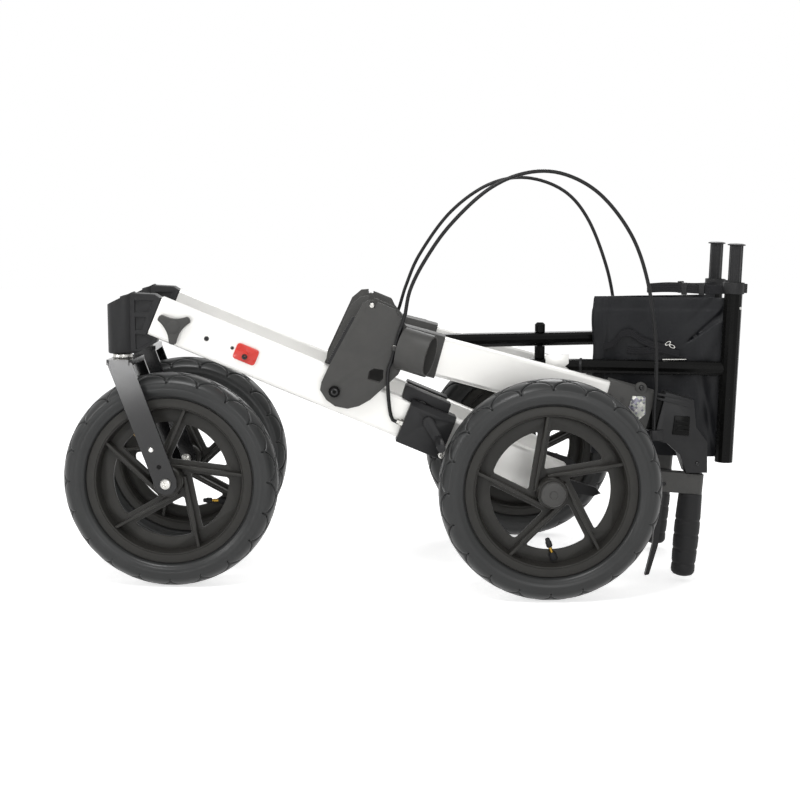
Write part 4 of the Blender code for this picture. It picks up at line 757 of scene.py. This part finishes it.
def softened(node, name, edge, segments=2):
    piece = edited(copy_of(nodes[node], name), (bpy.ops.mesh.remove_doubles, {"threshold": 2e-5}),
                   (bpy.ops.mesh.dissolve_limited, {"angle_limit": math.radians(1)}))
    return round_edges(piece, edge, segments, 32)


# %% [markdown]
# ## Steering heads
# The head is one nylon moulding: a round barrel for the steering bush and a web that plugs into the beam. The
# web is cored out from both faces, which leaves a frame with two cross ribs. The barrel is spun and its domed
# top sliced off at a slant. The web is a block, and the three pockets are smaller blocks carved out of it.

# %% Steering heads
HEAD_POCKETS = [[(-0.3955, 0.4232), (-0.3688, 0.4228), (-0.3744, 0.4078), (-0.3955, 0.4058)], [(-0.3955, 0.3992),
    (-0.3795, 0.3988), (-0.3862, 0.3806), (-0.3955, 0.3800)], [(-0.3950, 0.3745), (-0.3825, 0.3728),
    (-0.3700, 0.3672), (-0.3715, 0.3630), (-0.3870, 0.3545), (-0.3950, 0.3520)]]
HEAD_WEB = [(-0.4166, 0.3478), (-0.3959, 0.3462), (-0.3886, 0.3493), (-0.3650, 0.3622), (-0.3650, 0.3680),
            (-0.3796, 0.3740), (-0.3575, 0.4262), (-0.3665, 0.4318), (-0.3987, 0.4336), (-0.4166, 0.4290)]
SLANTED_CUT = {"plane_co": (STEER_X, 0, 0.4268), "plane_no": (-0.437, 0, 0.9), "use_fill": True, "clear_outer": True}
for hand, side in SIDES.items():
    barrel = spun("barrel", [(0, 0.3458), (0.0192, 0.3458), (0.0204, 0.3470), (0.0205, 0.4352), (0, 0.4352)], 40)
    moved(barrel, Matrix.Translation((STEER_X, side * SIDE_Y, 0)))
    round_edges(edited(barrel, (bpy.ops.mesh.bisect, SLANTED_CUT)), 0.0015, 3, 30)
    web = block("web", HEAD_WEB, SIDE_Y - 0.0146, SIDE_Y + 0.0146)
    for pocket in HEAD_POCKETS:
        for low in (SIDE_Y - 0.02, SIDE_Y + 0.0100):
            carve(web, block("pocket", pocket, low, low + 0.010))
    moved(round_edges(web, 0.0009, 2), flat(side))
    head = welded("steering_head_moulding_" + hand, [barrel, web])
    dress(head, "chassis_" + hand, black_nylon)
    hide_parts("steering_head_" + hand)
    ring = spun("steering_stem_" + hand, [(0, 0.3392), (0.0145, 0.3392), (0.0148, 0.3400), (0.0140, 0.3412),
        (0.0140, 0.3440), (0.0135, 0.3452), (0, 0.3452)], 36)
    dress(moved(ring, Matrix.Translation((STEER_X, side * SIDE_Y, 0))), "fork_" + hand, plated)

# %% [markdown]
# ## Stop catch and frame screws
# The red catch on each beam is a small slanted block with a socket screw, and a black pin beside it. Another
# black socket screw sits nearer the front, and the pivot bolt has the same kind of head.

# %% Catches and screws
for hand, side in SIDES.items():
    catch = softened("stop_catch_" + hand, "red_stop_catch_" + hand, 0.0013, 3)
    dress(catch, "catch_" + hand, red_abs)
    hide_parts("stop_catch_" + hand)
    for label, x, z, out, radius, body in (("catch_screw", -0.2368, 0.3420, 0.0272, 0.0042, "catch"), ("beam_screw",
        -0.2925, 0.3675, 0.0152, 0.0037, "chassis"), ("catch_pin", -0.2554, 0.3540, 0.0152, 0.0026,
        "chassis"), ("pivot_screw", -0.1070, 0.2912, 0.0304, 0.0062, "chassis")):
        head = socket_head(label + "_" + hand, radius, radius * 0.55)
        dress(moved(head, outwards(x, SIDE_Y + out, z, side)), body + "_" + hand, gloss_coat, smooth=30)

# %% [markdown]
# ## Knuckles
# The knuckle carries the upright on the chassis beam. Beside its rounded edges it has a pocket low down at the
# back, a notch with a screw at the top, and a toothed strip along its front edge that the hand can grip.

# %% Knuckles
KNUCKLE_OUT = 0.1375
POCKET = [(-0.0589, 0.3089), (-0.0566, 0.3209), (-0.0498, 0.3250), (-0.0350, 0.3231), (-0.0345, 0.3088),
          (-0.0410, 0.3030)]
STRIP_TOP, STRIP_END, TEETH = Vector((-0.0788, 0.3991)), Vector((-0.1151, 0.3323)), 26
for hand, side in SIDES.items():
    knuckle = softened("knuckle_" + hand, "knuckle_moulding_" + hand, 0.0014, 3)
    pocket = plate("pocket", POCKET, KNUCKLE_OUT - 0.004, KNUCKLE_OUT + 0.01, 0.0014)
    carve(knuckle, moved(pocket, flat(side)))
    notch = plate("notch", oblong(-0.0558, -0.0482, 0.4210, 0.4420), SIDE_Y - 0.030, KNUCKLE_OUT + 0.01, 0.0012)
    carve(knuckle, moved(notch, flat(side)))
    dress(knuckle, "upright_" + hand, grey_nylon, 32)
    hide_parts("knuckle_" + hand)
    along = (STRIP_END - STRIP_TOP).normalized()
    across = -left_of(along)
    outline = [tuple(end + across * -0.0030) for end in (STRIP_END, STRIP_TOP)]
    for number in range(TEETH):
        for share, reach in ((0.0, 0.0014), (0.5, 0.0014), (0.5, 0.0024), (1.0, 0.0024)):
            outline.append(tuple(STRIP_TOP.lerp(STRIP_END, (number + share) / TEETH) + across * reach))
    strip = block("toothed_strip_" + hand, outline, KNUCKLE_OUT - 0.010, KNUCKLE_OUT - 0.0002)
    moved(strip, flat(side))
    dress(strip, "upright_" + hand, black_nylon)
    screw = cross_head("knuckle_screw_" + hand, 0.0036, 0.0022)
    dress(moved(screw, outwards(-0.0522, KNUCKLE_OUT, 0.4160, side)), "upright_" + hand, plated, smooth=30)
    lean_up = Vector((math.sin(GUIDE_LEAN), 0, math.cos(GUIDE_LEAN)))
    lean_back = Vector((math.cos(GUIDE_LEAN), 0, -math.sin(GUIDE_LEAN)))
    ring_place = axes((GUIDE_AT.x, side * GUIDE_Y, GUIDE_AT.y), lean_back, lean_up.cross(lean_back), lean_up)
    ring = spun("cable_ring_" + hand, [(0.0029, -0.0014), (0.0046, -0.0014), (0.0048, 0.0), (0.0046, 0.0014),
        (0.0029, 0.0014)], 24)
    dress(moved(ring, ring_place @ Matrix.Translation((0, 0, 0.0024))), "upright_" + hand, plated)

# %% [markdown]
# ## Tyre brakes
# The brake housing keeps its CAD form with rounder edges, and a flat cover closes it on the near side. Its cable
# ends in a plated barrel adjuster, a small turned nut and bush, and a hexagon screw holds the brake arm.

# %% Brake housings
BRAKE_COVER = [(-0.0022, 0.2985), (0.0640, 0.2705), (0.0585, 0.2530), (0.0500, 0.2560), (0.0372, 0.2655),
               (0.0247, 0.2735), (0.0133, 0.2770), (0.0060, 0.2725), (-0.0080, 0.2800)]
ADJUSTER = [(0.0029, -0.009), (0.0040, -0.009), (0.0040, -0.0045), (0.0056, -0.004), (0.0056, 0.001),
            (0.0042, 0.0015), (0.0042, 0.006), (0.0029, 0.006)]
for hand, side in SIDES.items():
    housing = softened("brake_mount_" + hand, "brake_housing_" + hand, 0.0012)
    dress(housing, "chassis_" + hand, black_nylon, 32)
    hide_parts("brake_mount_" + hand)
    if hand == "left":
        cover = plate("brake_cover", BRAKE_COVER, SIDE_Y - 0.0145, SIDE_Y + 0.0175, 0.0012)
        dress(moved(cover, flat(side)), "chassis_left", black_nylon)
    arm = softened("brake_arm_" + hand, "brake_arm_moulding_" + hand, 0.0010)
    dress(arm, "brake_arm_" + hand, black_nylon, 32)
    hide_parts("brake_arm_" + hand)
    before, at = (Vector((x, side * ENTRY_Y, z)) for x, z in ENTRY)
    way, sideways = (at - before).normalized(), Vector((0, 1, 0))
    adjuster = spun("barrel_adjuster_" + hand, ADJUSTER, 6)
    place = axes(at, sideways.cross(way), sideways, way)
    dress(moved(adjuster, place), "chassis_" + hand, plated, smooth=20)
    screw = socket_head("brake_screw_" + hand, 0.0048, 0.003)
    dress(moved(screw, outwards(0.0481, SIDE_Y + 0.0344, 0.1980, side)), "chassis_" + hand, plated, smooth=30)

# %% [markdown]
# ## End brackets and reflectors
# The upright beam ends in a bracket with an ear, a screw and two oval bosses. A prismatic reflector is glued to
# it. Such foil is a grid of tiny mirror corners under clear film, so it glitters in patches of grey and pale
# colours. It is drawn as a silver plate with a fine square grid of cells, each in its own grey: the glitter is a
# painted reflection in the base colour.

# %% Reflector material
foil, shader = start_material("prismatic_reflector_foil", "#A9AAA8", 0.3, 0.3)
place = add_node(foil, "ShaderNodeTexCoord").outputs["Object"]
turned_place = add_node(foil, "ShaderNodeMapping", {}, {"Vector": place, "Rotation": (0, math.radians(45), 0)})
# Painted reflection: each cell of the grid gets its own grey or pale tint, standing in for the foil's glitter.
cells = add_node(foil, "ShaderNodeTexVoronoi", {"distance": "CHEBYCHEV"},
                 {"Vector": turned_place.outputs["Vector"], "Scale": 320.0, "Randomness": 0.0})
grey = add_node(foil, "ShaderNodeSeparateColor", {}, {"Color": cells.outputs["Color"]})
ramp = add_node(foil, "ShaderNodeValToRGB", {}, {"Fac": grey.outputs["Red"]})
for element, colour in zip(ramp.color_ramp.elements, ("#4A4B52", "#DCDAD3")):
    element.color = linear(colour)
for position, colour in ((0.3, "#8D8A99"), (0.55, "#B3B1AC"), (0.75, "#9CA296")):
    ramp.color_ramp.elements.new(position).color = linear(colour)
link(foil, ramp.outputs["Color"], shader.inputs["Base Color"])

# %% Brackets and reflectors
REFLECTOR = [(0.3301, 0.2823), (0.3480, 0.2815), (0.3492, 0.2795), (0.3494, 0.2552), (0.3401, 0.2469),
             (0.3246, 0.2647)]
for hand, side in SIDES.items():
    bracket = softened("end_bracket_" + hand, "beam_end_moulding_" + hand, 0.0010)
    dress(bracket, "upright_" + hand, grey_nylon, 32)
    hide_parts("end_bracket_" + hand)
    reflector = plate("reflector_" + hand, REFLECTOR, SIDE_Y + 0.0188, SIDE_Y + 0.0200, 0.0003)
    dress(moved(reflector, flat(side)), "upright_" + hand, foil)
    circle = circle_of_points(0.0085, 32, 0.3428, 0.2935)
    ear = plate("bracket_ear_" + hand, circle, SIDE_Y + 0.0100, SIDE_Y + 0.0193, 0.0008)
    dress(moved(ear, flat(side)), "upright_" + hand, grey_nylon)
    screw = socket_head("ear_screw_" + hand, 0.0040, 0.0022)
    dress(moved(screw, outwards(0.3432, SIDE_Y + 0.0193, 0.2945, side)), "upright_" + hand, gloss_coat, smooth=30)
    for number, (x, z) in enumerate(((0.2975, 0.2822), (0.3148, 0.2770))):
        oval = spun("boss", [(0.0019, 0), (0.0031, 0), (0.0029, 0.0009), (0.0021, 0.0009)], 24)
        oval.data.transform(Matrix.Diagonal((0.85, 1.35, 1, 1)))
        oval.name = "oval_boss_%d_%s" % (number, hand)
        dress(moved(oval, outwards(x, SIDE_Y + 0.0188, z, side)), "upright_" + hand, grey_nylon)

# %% [markdown]
# ## Handle castings
# The handle's elbow has a stepped band round its mouth, a louvred button that frees the telescope and a screw
# low down. Band and button are thin plates on the face, and the louvres are bars on the button.

# %% Castings
CAST_OUT = SIDE_Y + 0.0175
BANDS = [[(0.3660, 0.2868), (0.4150, 0.2770), (0.4154, 0.2738), (0.3662, 0.2832)],
         [(0.3664, 0.2800), (0.4158, 0.2700), (0.4164, 0.2640), (0.3900, 0.2705), (0.3668, 0.2768)]]
BUTTON = [(0.3930, 0.2528), (0.4160, 0.2512), (0.4150, 0.2225), (0.3899, 0.2245)]
for hand, side in SIDES.items():
    casting = softened("handle_casting_" + hand, "handle_elbow_" + hand, 0.0013)
    dress(casting, "handle_" + hand, black_nylon, 32)
    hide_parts("handle_casting_" + hand)
    for number, band in enumerate(BANDS):
        step = plate("mouth_band_%d_%s" % (number, hand), band, CAST_OUT - 0.001, CAST_OUT + 0.0008, 0.0003)
        dress(moved(step, flat(side)), "handle_" + hand, black_nylon)
    button = plate("button", BUTTON, CAST_OUT - 0.001, CAST_OUT + 0.0016, 0.0008)
    bars = [button]
    for rise in (0.2440, 0.2375, 0.2310):
        bar = [(0.3950, rise - 0.0012), (0.4140, rise - 0.0020), (0.4140, rise + 0.0008), (0.3950, rise + 0.0016)]
        bars.append(plate("bar", bar, CAST_OUT + 0.001, CAST_OUT + 0.0034, 0.0004))
    button = welded("release_button_" + hand, bars)
    dress(moved(button, flat(side)), "handle_" + hand, satin_coat)
    screw = socket_head("casting_screw_" + hand, 0.0034, 0.0018)
    dress(moved(screw, outwards(0.4285, CAST_OUT, 0.1810, side)), "handle_" + hand, gloss_coat, smooth=30)

# %% [markdown]
# ## Grips and rail plugs
# The grip is soft rubber with four finger grooves, and its end is round. It is one spun shape whose radius
# swells and shrinks. The rail plugs are fluted nylon pegs with a flange at both ends. A star-shaped outline,
# extruded, makes the flutes, and two spun discs make the flanges.

# %% Grips
grip_box = {hand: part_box("grip_" + hand) for hand in SIDES}
HANDLE_LEAN = math.radians(4.4)
GRIP_LENGTH, GROOVE_PITCH = 0.126, 0.0218
for hand, side in SIDES.items():
    low, high = grip_box[hand]
    middle = Vector([(a + b) / 2 for a, b in zip(low, high)])
    down = Vector((-math.sin(HANDLE_LEAN), 0, -math.cos(HANDLE_LEAN)))
    start = middle - down * GRIP_LENGTH / 2
    profile = [(0.0112, 0.0), (0.0168, 0.0), (0.0174, 0.002)]
    for run in np.linspace(0.004, 0.114, 120):
        swell = 0.0013 * math.sin(math.pi * min(1.0, max(0.0, (run - 0.006) / 0.104)))
        groove = 0.0011 * math.cos((run - 0.041) / GROOVE_PITCH * math.pi) ** 24 * (0.030 < run < 0.114)
        profile.append((0.0176 + swell - groove, run))
    profile += [(0.0178, 0.117), (0.0168, 0.1205), (0.0140, 0.1238), (0.0090, 0.1256), (0.0, 0.1260), (0.0, 0.1235),
                (0.0112, 0.1200)]
    grip = spun("ridged_grip_" + hand, profile, 56)
    place = axes(start, Vector((0, 1, 0)).cross(down), Vector((0, 1, 0)), down)
    dress(moved(grip, place), "handle_" + hand, grip_rubber, 50)
    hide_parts("grip_" + hand)

# %% Rail plugs
RAIL_LEAN = math.radians(1.8)
for hand, side in SIDES.items():
    low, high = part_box("rail_plug_" + hand)
    up = Vector((math.sin(RAIL_LEAN), 0, math.cos(RAIL_LEAN)))
    middle_y = (low[1] + high[1]) / 2
    top = Vector(((low[0] + high[0]) / 2, middle_y, high[2])) + Vector((up.x, 0, 0)) * (high[2] - low[2]) / 2
    count = 96
    outline = []
    for number in range(count):
        angle = 2 * math.pi * number / count
        radius = 0.0094 + 0.0010 * math.copysign(abs(math.cos(5 * angle)) ** 0.5, math.cos(5 * angle))
        outline.append((radius * math.cos(angle), radius * math.sin(angle)))
    shaft = block("shaft", outline, -0.0880, -0.002)
    cap = spun("cap", [(0, -0.0032), (0.0128, -0.0032), (0.0135, -0.0024), (0.0132, -0.0014), (0.0090, -0.0003),
                       (0, 0)], 36)
    foot = spun("foot", [(0, -0.0640), (0.0128, -0.0640), (0.0128, -0.0600), (0.0110, -0.0590), (0, -0.0590)], 36)
    plug = welded("fluted_plug_" + hand, [shaft, cap, foot])
    place = axes(top, up.cross(Vector((0, 1, 0))) * -1, Vector((0, 1, 0)), up)
    dress(moved(plug, place), "seat_arm_" + hand, black_nylon, 40)
    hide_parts("rail_plug_" + hand)

# %% [markdown]
# ## Seat cloth
# The seat is one sheet of coated nylon, sewn to a rail on each side. With the frame folded it hangs in a sharp
# V between the rails, its fold towards the front. A Grid primitive has the flat sheet's size, and its points are
# laid along the V. Then code pushes them out of the plane: a sewn hem, soft waves, and the diagonal crease where
# a corner of the sheet has folded over. A Solidify modifier gives the thickness.

# %% Seat sling
RAIL_X, RAIL_END_Y, FOLD_X, FOLD_HALF = 0.4884, 0.0462, 0.2890, 0.0040
SLING_BOTTOM, SLING_TOP = 0.177, 0.421


def ramp_up(value, length):
    """Rises from 0 to 1 over a length."""
    return np.clip(value / length, 0, 1)


def turned_back(x, radius):
    """Half a turn in plan that starts on the near side and reaches forward to x."""
    return [(x + radius - radius * math.sin(math.radians(angle)), -radius * math.cos(math.radians(angle)))
            for angle in range(0, 181, 30)]


def cloth_grid(name, columns, rows):
    bpy.ops.object.select_all(action="DESELECT")
    bpy.ops.mesh.primitive_grid_add(x_subdivisions=columns, y_subdivisions=rows, size=1, calc_uvs=True)
    piece = bpy.context.object
    piece.name = name
    piece.data.uv_layers[0].name = "weave"
    return piece

def laid_sheet(name, path, low, high, columns, rows):
    """A grid bent along a path of (x, y) points in plan, from height low to high. Returns it with its flat map."""
    path = [Vector(point) for point in path]
    reach = np.concatenate([[0], np.cumsum([(b - a).length for a, b in zip(path, path[1:])])])
    piece = cloth_grid(name, columns, rows)
    flat_u = np.array([vertex.co.x + 0.5 for vertex in piece.data.vertices]) * reach[-1]
    flat_v = np.array([vertex.co.y + 0.5 for vertex in piece.data.vertices]) * (high - low)
    for corner, value in zip(piece.data.loops, piece.data.uv_layers[0].data):
        value.uv = (flat_u[corner.vertex_index], flat_v[corner.vertex_index])

    def place_at(run):
        return np.stack([np.interp(run, reach, [point[axis] for point in path]) for axis in (0, 1)], axis=1)

    along = place_at(flat_u + 0.0005) - place_at(flat_u - 0.0005)
    along /= np.linalg.norm(along, axis=1)[:, None]
    x, y = place_at(flat_u).T
    return piece, x, y, low + flat_v, np.stack([along[:, 1], -along[:, 0]], axis=1), reach[-1]


def settle(piece, x, y, z, normal, push, thickness):
    """Puts the points in place, pushed out along the sheet's normal, and gives the sheet its thickness."""
    places = np.stack([x + normal[:, 0] * push, y + normal[:, 1] * push, z], axis=1)
    piece.data.vertices.foreach_set("co", places.ravel())
    piece.data.update()
    edited(finished(piece, "SOLIDIFY", thickness=thickness, offset=0), FACING_OUT)


sling_path = [(RAIL_X, -RAIL_END_Y)] + turned_back(FOLD_X, FOLD_HALF) + [(RAIL_X, RAIL_END_Y)]
sling, x, y, z, normal, sling_width = laid_sheet("seat_cloth", sling_path, SLING_BOTTOM, SLING_TOP, 190, 110)
height = SLING_TOP - SLING_BOTTOM
down = SLING_TOP - z
hem = ramp_up(0.0215 - down, 0.0008) * 0.0009 + ramp_up(0.0040 - down, 0.004) * 0.0009
stitch = -ridge(down - 0.0200, 0.0006) * 0.0006
side_hem = ridge(x - FOLD_X - 0.012, 0.0050) * 0.0014
wave = 0.0016 * np.sin(x * 58 + z * 21) * np.sin(z * 31 + 0.6) + 0.0009 * np.sin(x * 133 - z * 74 + 1.0)
# The crease runs from its anchor to the rail's top. A point is so far past the anchor and so far beside the line
anchor, rail_top = np.array([0.4241, 0.3480]), np.array([0.4884, 0.4100])
crease_way = (rail_top - anchor) / np.linalg.norm(rail_top - anchor)
past = (x - anchor[0]) * crease_way[0] + (z - anchor[1]) * crease_way[1]
beside = (x - anchor[0]) * -crease_way[1] + (z - anchor[1]) * crease_way[0]
span = ramp_up(past, 0.088)
fade = ramp_up(past + 0.004, 0.02) * ramp_up(0.4900 - x, 0.012)
flap = np.clip(1 - np.abs(beside + 0.0055 * span) / (0.0010 + 0.0075 * span), 0, 1) ** 0.6
edge = ramp_up(beside + 0.0135 * span, 0.001) * ramp_up(0.0010 - beside, 0.001)
crease = (0.0034 * flap + 0.0010 * edge) * fade * (y < 0)
folds = 0.0020 * ridge(beside - 0.020, 0.006) * ramp_up(past, 0.03)
folds += 0.0018 * ridge(x - 0.3080 - (z - 0.36) * 0.05, 0.0035)
folds += 0.0022 * ridge(x - 0.452 + (z - 0.30) * 0.20, 0.0060) * (z < 0.31)
hold = ramp_up(RAIL_X - x, 0.020)
settle(sling, x, y, z, normal, (wave + side_hem + folds) * hold + hem + stitch + crease, 0.0012)
dress(sling, None, seat_nylon, 60)
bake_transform(sling)
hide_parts("seat_sling")
print("seat cloth cut size in metres:", round(float(sling_width), 4), round(height, 4))

# %% [markdown]
# ## Strap and webbing
# A webbing strap joins the rail tops and carries three ladder buckles, and a clamp ring holds it on each rail. It
# is laid in the same way as the seat, with one slow wave. The buckles are small blocks with round edges. A loose
# loop and tail of webbing, two bright rings and a pin lie on the seat cloth.

# %% Strap
STRAP_TOP, STRAP_HEIGHT, STRAP_END_X, STRAP_TIP_X, TIP_HALF = 0.4405, 0.0135, 0.4924, 0.3734, 0.0085
strap_path = [(STRAP_END_X, -RAIL_END_Y)] + turned_back(STRAP_TIP_X, TIP_HALF) + [(STRAP_END_X, RAIL_END_Y)]
strap, x, y, z, normal, strap_length = laid_sheet("seat_strap_webbing", strap_path, STRAP_TOP - STRAP_HEIGHT,
    STRAP_TOP, 150, 6)
sway = 0.0012 * np.sin((x - STRAP_TIP_X) * 95) * ramp_up(STRAP_END_X - x, 0.02)
settle(strap, x, y, z + 0.0010 * np.sin((x - 0.38) * 60), normal, sway, 0.0018)
dress(strap, None, webbing, 60)


def strap_place(x, side):
    """The strap's middle at x on one side, facing outwards, with the first axis along the strap."""
    tip_x, rise = STRAP_TIP_X + TIP_HALF, RAIL_END_Y - TIP_HALF
    share = (x - tip_x) / (STRAP_END_X - tip_x)
    along, up = Vector((STRAP_END_X - tip_x, side * rise, 0)).normalized(), Vector((0, 0, 1))
    return axes((x, side * (TIP_HALF + share * rise), STRAP_TOP - STRAP_HEIGHT / 2), along, up, along.cross(up))


def on_rail(z, side):
    """A place on a rail's middle line at a height."""
    return Vector((RAIL_X + (z - 0.3145) * math.tan(RAIL_LEAN), side * 0.060, z))


for number, (x, hand) in enumerate(((0.4253, "left"), (0.4501, "left"), (0.4300, "right"))):
    buckle = plate("ladder_buckle_%d" % number, oblong(-0.0042, 0.0042, -0.0092, 0.0092), -0.0030, 0.0030, 0.0008)
    place = strap_place(x, SIDES[hand])
    dress(moved(buckle, place), "seat_arm_" + hand, black_nylon)
for hand, side in SIDES.items():
    clamp = spun("clamp", both_ends([(0.0136, -0.0085), (0.0156, -0.0085), (0.0160, -0.0075)]), 40)
    lug = plate("lug", oblong(0.0150, 0.0198, -0.0070, 0.0070), -0.004, 0.004)
    clamp = welded("rail_clamp_" + hand, [clamp, moved(lug, Matrix.Rotation(math.radians(90), 4, "X"))])
    up, sideways = Vector((math.sin(RAIL_LEAN), 0, math.cos(RAIL_LEAN))), Vector((0, 1, 0))
    place = axes(on_rail(0.4365, side), sideways.cross(up), sideways, up)
    dress(moved(clamp, place), "seat_arm_" + hand, black_nylon)
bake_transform(strap)
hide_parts("seat_strap")
print("strap length in metres:", round(float(strap_length), 4))
# %% Loose webbing
def before_cloth(x, proud):
    """The y of a place just in front of the seat cloth's near panel."""
    return -(FOLD_HALF + (x - FOLD_X) / (RAIL_X - FOLD_X) * (RAIL_END_Y - FOLD_HALF)) - proud


def ribbon(name, points, width):
    """A strip of webbing that stands on its edge and runs through (x, z, distance before the cloth) points."""
    places = smooth_route([(x, before_cloth(x, proud), z) for x, z, proud in points], 0.004)
    last, length = len(places) - 1, run_length(places)
    piece = cloth_grid(name, last, 3)
    for value in piece.data.uv_layers[0].data:
        value.uv = (value.uv.x * length, value.uv.y * width)
    for vertex in piece.data.vertices:
        here = places[min(last, round((vertex.co.x + 0.5) * last))]
        vertex.co = (here.x, here.y, here.z + vertex.co.y * width)
    dress(finished(piece, "SOLIDIFY", thickness=0.0014, offset=0), "seat_arm_left", webbing, smooth=60)


LOOP = [(0.3050, 0.3440, 0.004), (0.3197, 0.3500, 0.006), (0.3300, 0.3640, 0.009), (0.3450, 0.3660, 0.010),
        (0.3600, 0.3560, 0.009), (0.3800, 0.3480, 0.007), (0.4020, 0.3440, 0.005)]
TAIL = [(0.3400, 0.3400, 0.004), (0.3620, 0.3385, 0.006), (0.3878, 0.3410, 0.006), (0.4180, 0.3350, 0.004)]
ribbon("webbing_loop", LOOP, 0.0110)
ribbon("webbing_tail", TAIL, 0.0105)
for number, (x, z, turn) in enumerate(((0.4000, 0.3510, 30), (0.4062, 0.3465, -25))):
    ring = spun("webbing_ring_%d" % number, oblong(0.0036, 0.0050, -0.0007, 0.0007), 24)
    tilt = Matrix.Rotation(math.radians(turn), 4, "Z") @ Matrix.Diagonal((1, 0.5, 1, 1))
    dress(moved(ring, outwards(x, -before_cloth(x, 0.0065), z, -1) @ tilt), "seat_arm_left", plated)
pin = spun("seat_pin", oblong(0, 0.0012, 0, 0.036), 12)
pin_place = axes((0.3914, before_cloth(0.40, 0.0110), 0.3265), (0, 0, -1), (0, 1, 0), (1, 0, 0))
dress(moved(pin, pin_place), "seat_arm_left", plated)

# %% [markdown]
# ## Small things on the frame
# The brace tubes carry a bare white plate and a cable tie, and a rivet closes each rail.

# %% Plate, tie, rivets
label = plate("white_plate", oblong(0.2150, 0.2508, 0.3045, 0.3328), 0.0180, 0.0192, 0.0004)
dress(moved(label, flat(-1)), "seat_arm_left", anodised)
tie = spun("cable_tie", oblong(0.0112, 0.0124, -0.0018, 0.0018), 32)
arm_way, up = Vector((0.2804, -0.060, 0)).normalized(), Vector((0, 0, 1))
dress(moved(tie, axes((0.2701, -0.0133, 0.3145), arm_way.cross(up), up, arm_way)), "seat_arm_left", black_nylon)
for hand, side in SIDES.items():
    rivet = spun("rail_rivet_" + hand, [(0, -0.001), (0.0027, -0.001), (0.0024, 0.0004), (0.0012, 0.0010),
        (0, 0.0010)], 20)
    out = Matrix.Rotation(math.radians(-48 * side), 4, "Z") @ Vector((0, side, 0))
    place = axes(on_rail(0.4065, side) + out * 0.0135, up.cross(out), up, out)
    dress(moved(rivet, place), "seat_arm_" + hand, plated)

# %% [markdown]
# ## Studio
# The rollator stands on white paper. The floor is a plain white plane that keeps a soft shadow, and the world
# shows the camera and the mirror-like parts the same white, while it lights everything else at a lower level.
# Five soft lights do the rest: a key light above and in front, a weaker one from the left, a broad fill beside
# the camera, a small low one whose reflection fades down the near fork, and one behind, so that the back isn't
# flat. They are small enough to draw bright lines on tubes.

# %% Floor and world
bpy.ops.object.select_all(action="DESELECT")
bpy.ops.mesh.primitive_plane_add(size=16, location=(0, 0, -0.0005))
floor = bpy.context.object
floor.name = "paper_floor"
paper = bpy.data.materials.new("white_paper_floor")
paper.use_nodes = True
paper.node_tree.nodes.clear()
diffuse = add_node(paper, "ShaderNodeBsdfDiffuse", {}, {"Color": linear("#F4F4F4")})
glow = add_node(paper, "ShaderNodeEmission", {}, {"Color": linear("#FFFFFF")})
rays = add_node(paper, "ShaderNodeLightPath")
seen = add_node(paper, "ShaderNodeMath", {"operation": "MAXIMUM"},
                {0: rays.outputs["Is Camera Ray"], 1: rays.outputs["Is Glossy Ray"]})
share = add_node(paper, "ShaderNodeMath", {"operation": "MULTIPLY"}, {0: seen.outputs["Value"], 1: 0.66})
link(paper, share.outputs["Value"], glow.inputs["Strength"])
both = add_node(paper, "ShaderNodeAddShader")
link(paper, diffuse.outputs["BSDF"], both.inputs[0])
link(paper, glow.outputs["Emission"], both.inputs[1])
add_node(paper, "ShaderNodeOutputMaterial", {}, {"Surface": both.outputs["Shader"]})
floor.data.materials.append(paper)

world = bpy.data.worlds.new("white_studio")
bpy.context.scene.world = world
world.use_nodes = True
world.node_tree.nodes.clear()
rays = add_node(world, "ShaderNodeLightPath")
seen = add_node(world, "ShaderNodeMath", {"operation": "MAXIMUM"},
                {0: rays.outputs["Is Camera Ray"], 1: rays.outputs["Is Glossy Ray"]})
seen = add_node(world, "ShaderNodeMath", {"operation": "MAXIMUM"},
                {0: seen.outputs["Value"], 1: rays.outputs["Is Transmission Ray"]})
strength = add_node(world, "ShaderNodeMapRange", {}, {"Value": seen.outputs["Value"], "To Min": 0.42, "To Max": 1.0})
sky = add_node(world, "ShaderNodeBackground", {}, {"Color": linear("#FFFFFF"), "Strength": strength.outputs["Result"]})
add_node(world, "ShaderNodeOutputWorld", {}, {"Surface": sky.outputs["Background"]})


# %% Lights
def soft_light(name, place, target, size, watts):
    data = bpy.data.lights.new(name, "AREA")
    data.shape = "DISK"
    data.size = size
    data.energy = watts
    lamp = bpy.data.objects.new(name, data)
    lamp.location = place
    lamp.rotation_euler = (Vector(target) - Vector(place)).to_track_quat("-Z", "Y").to_euler()
    bpy.context.scene.collection.objects.link(lamp)
    return lamp


lamps = [soft_light("top_front_light", (-0.5, -1.5, 2.3), (0, 0, 0.2), 0.7, 22), soft_light("left_front_light",
    (-2.2, -1.3, 1.2), (0, 0, 0.25), 0.6, 9), soft_light("front_fill_light", (0.5, -3.0, 1.0), (0, 0, 0.25), 1.2,
    12), soft_light("fork_glint_light", (-0.90, -1.68, 0.20), (-0.42, -0.16, 0.34), 0.2,
    1.4), soft_light("back_light", (0.6, 1.9, 1.9), (0, 0, 0.25), 1.0, 14)]

# %% [markdown]
# ## Update at the end
# The view layer is brought up to date once more, after the last pieces.

# %% Update
bpy.context.view_layer.update()
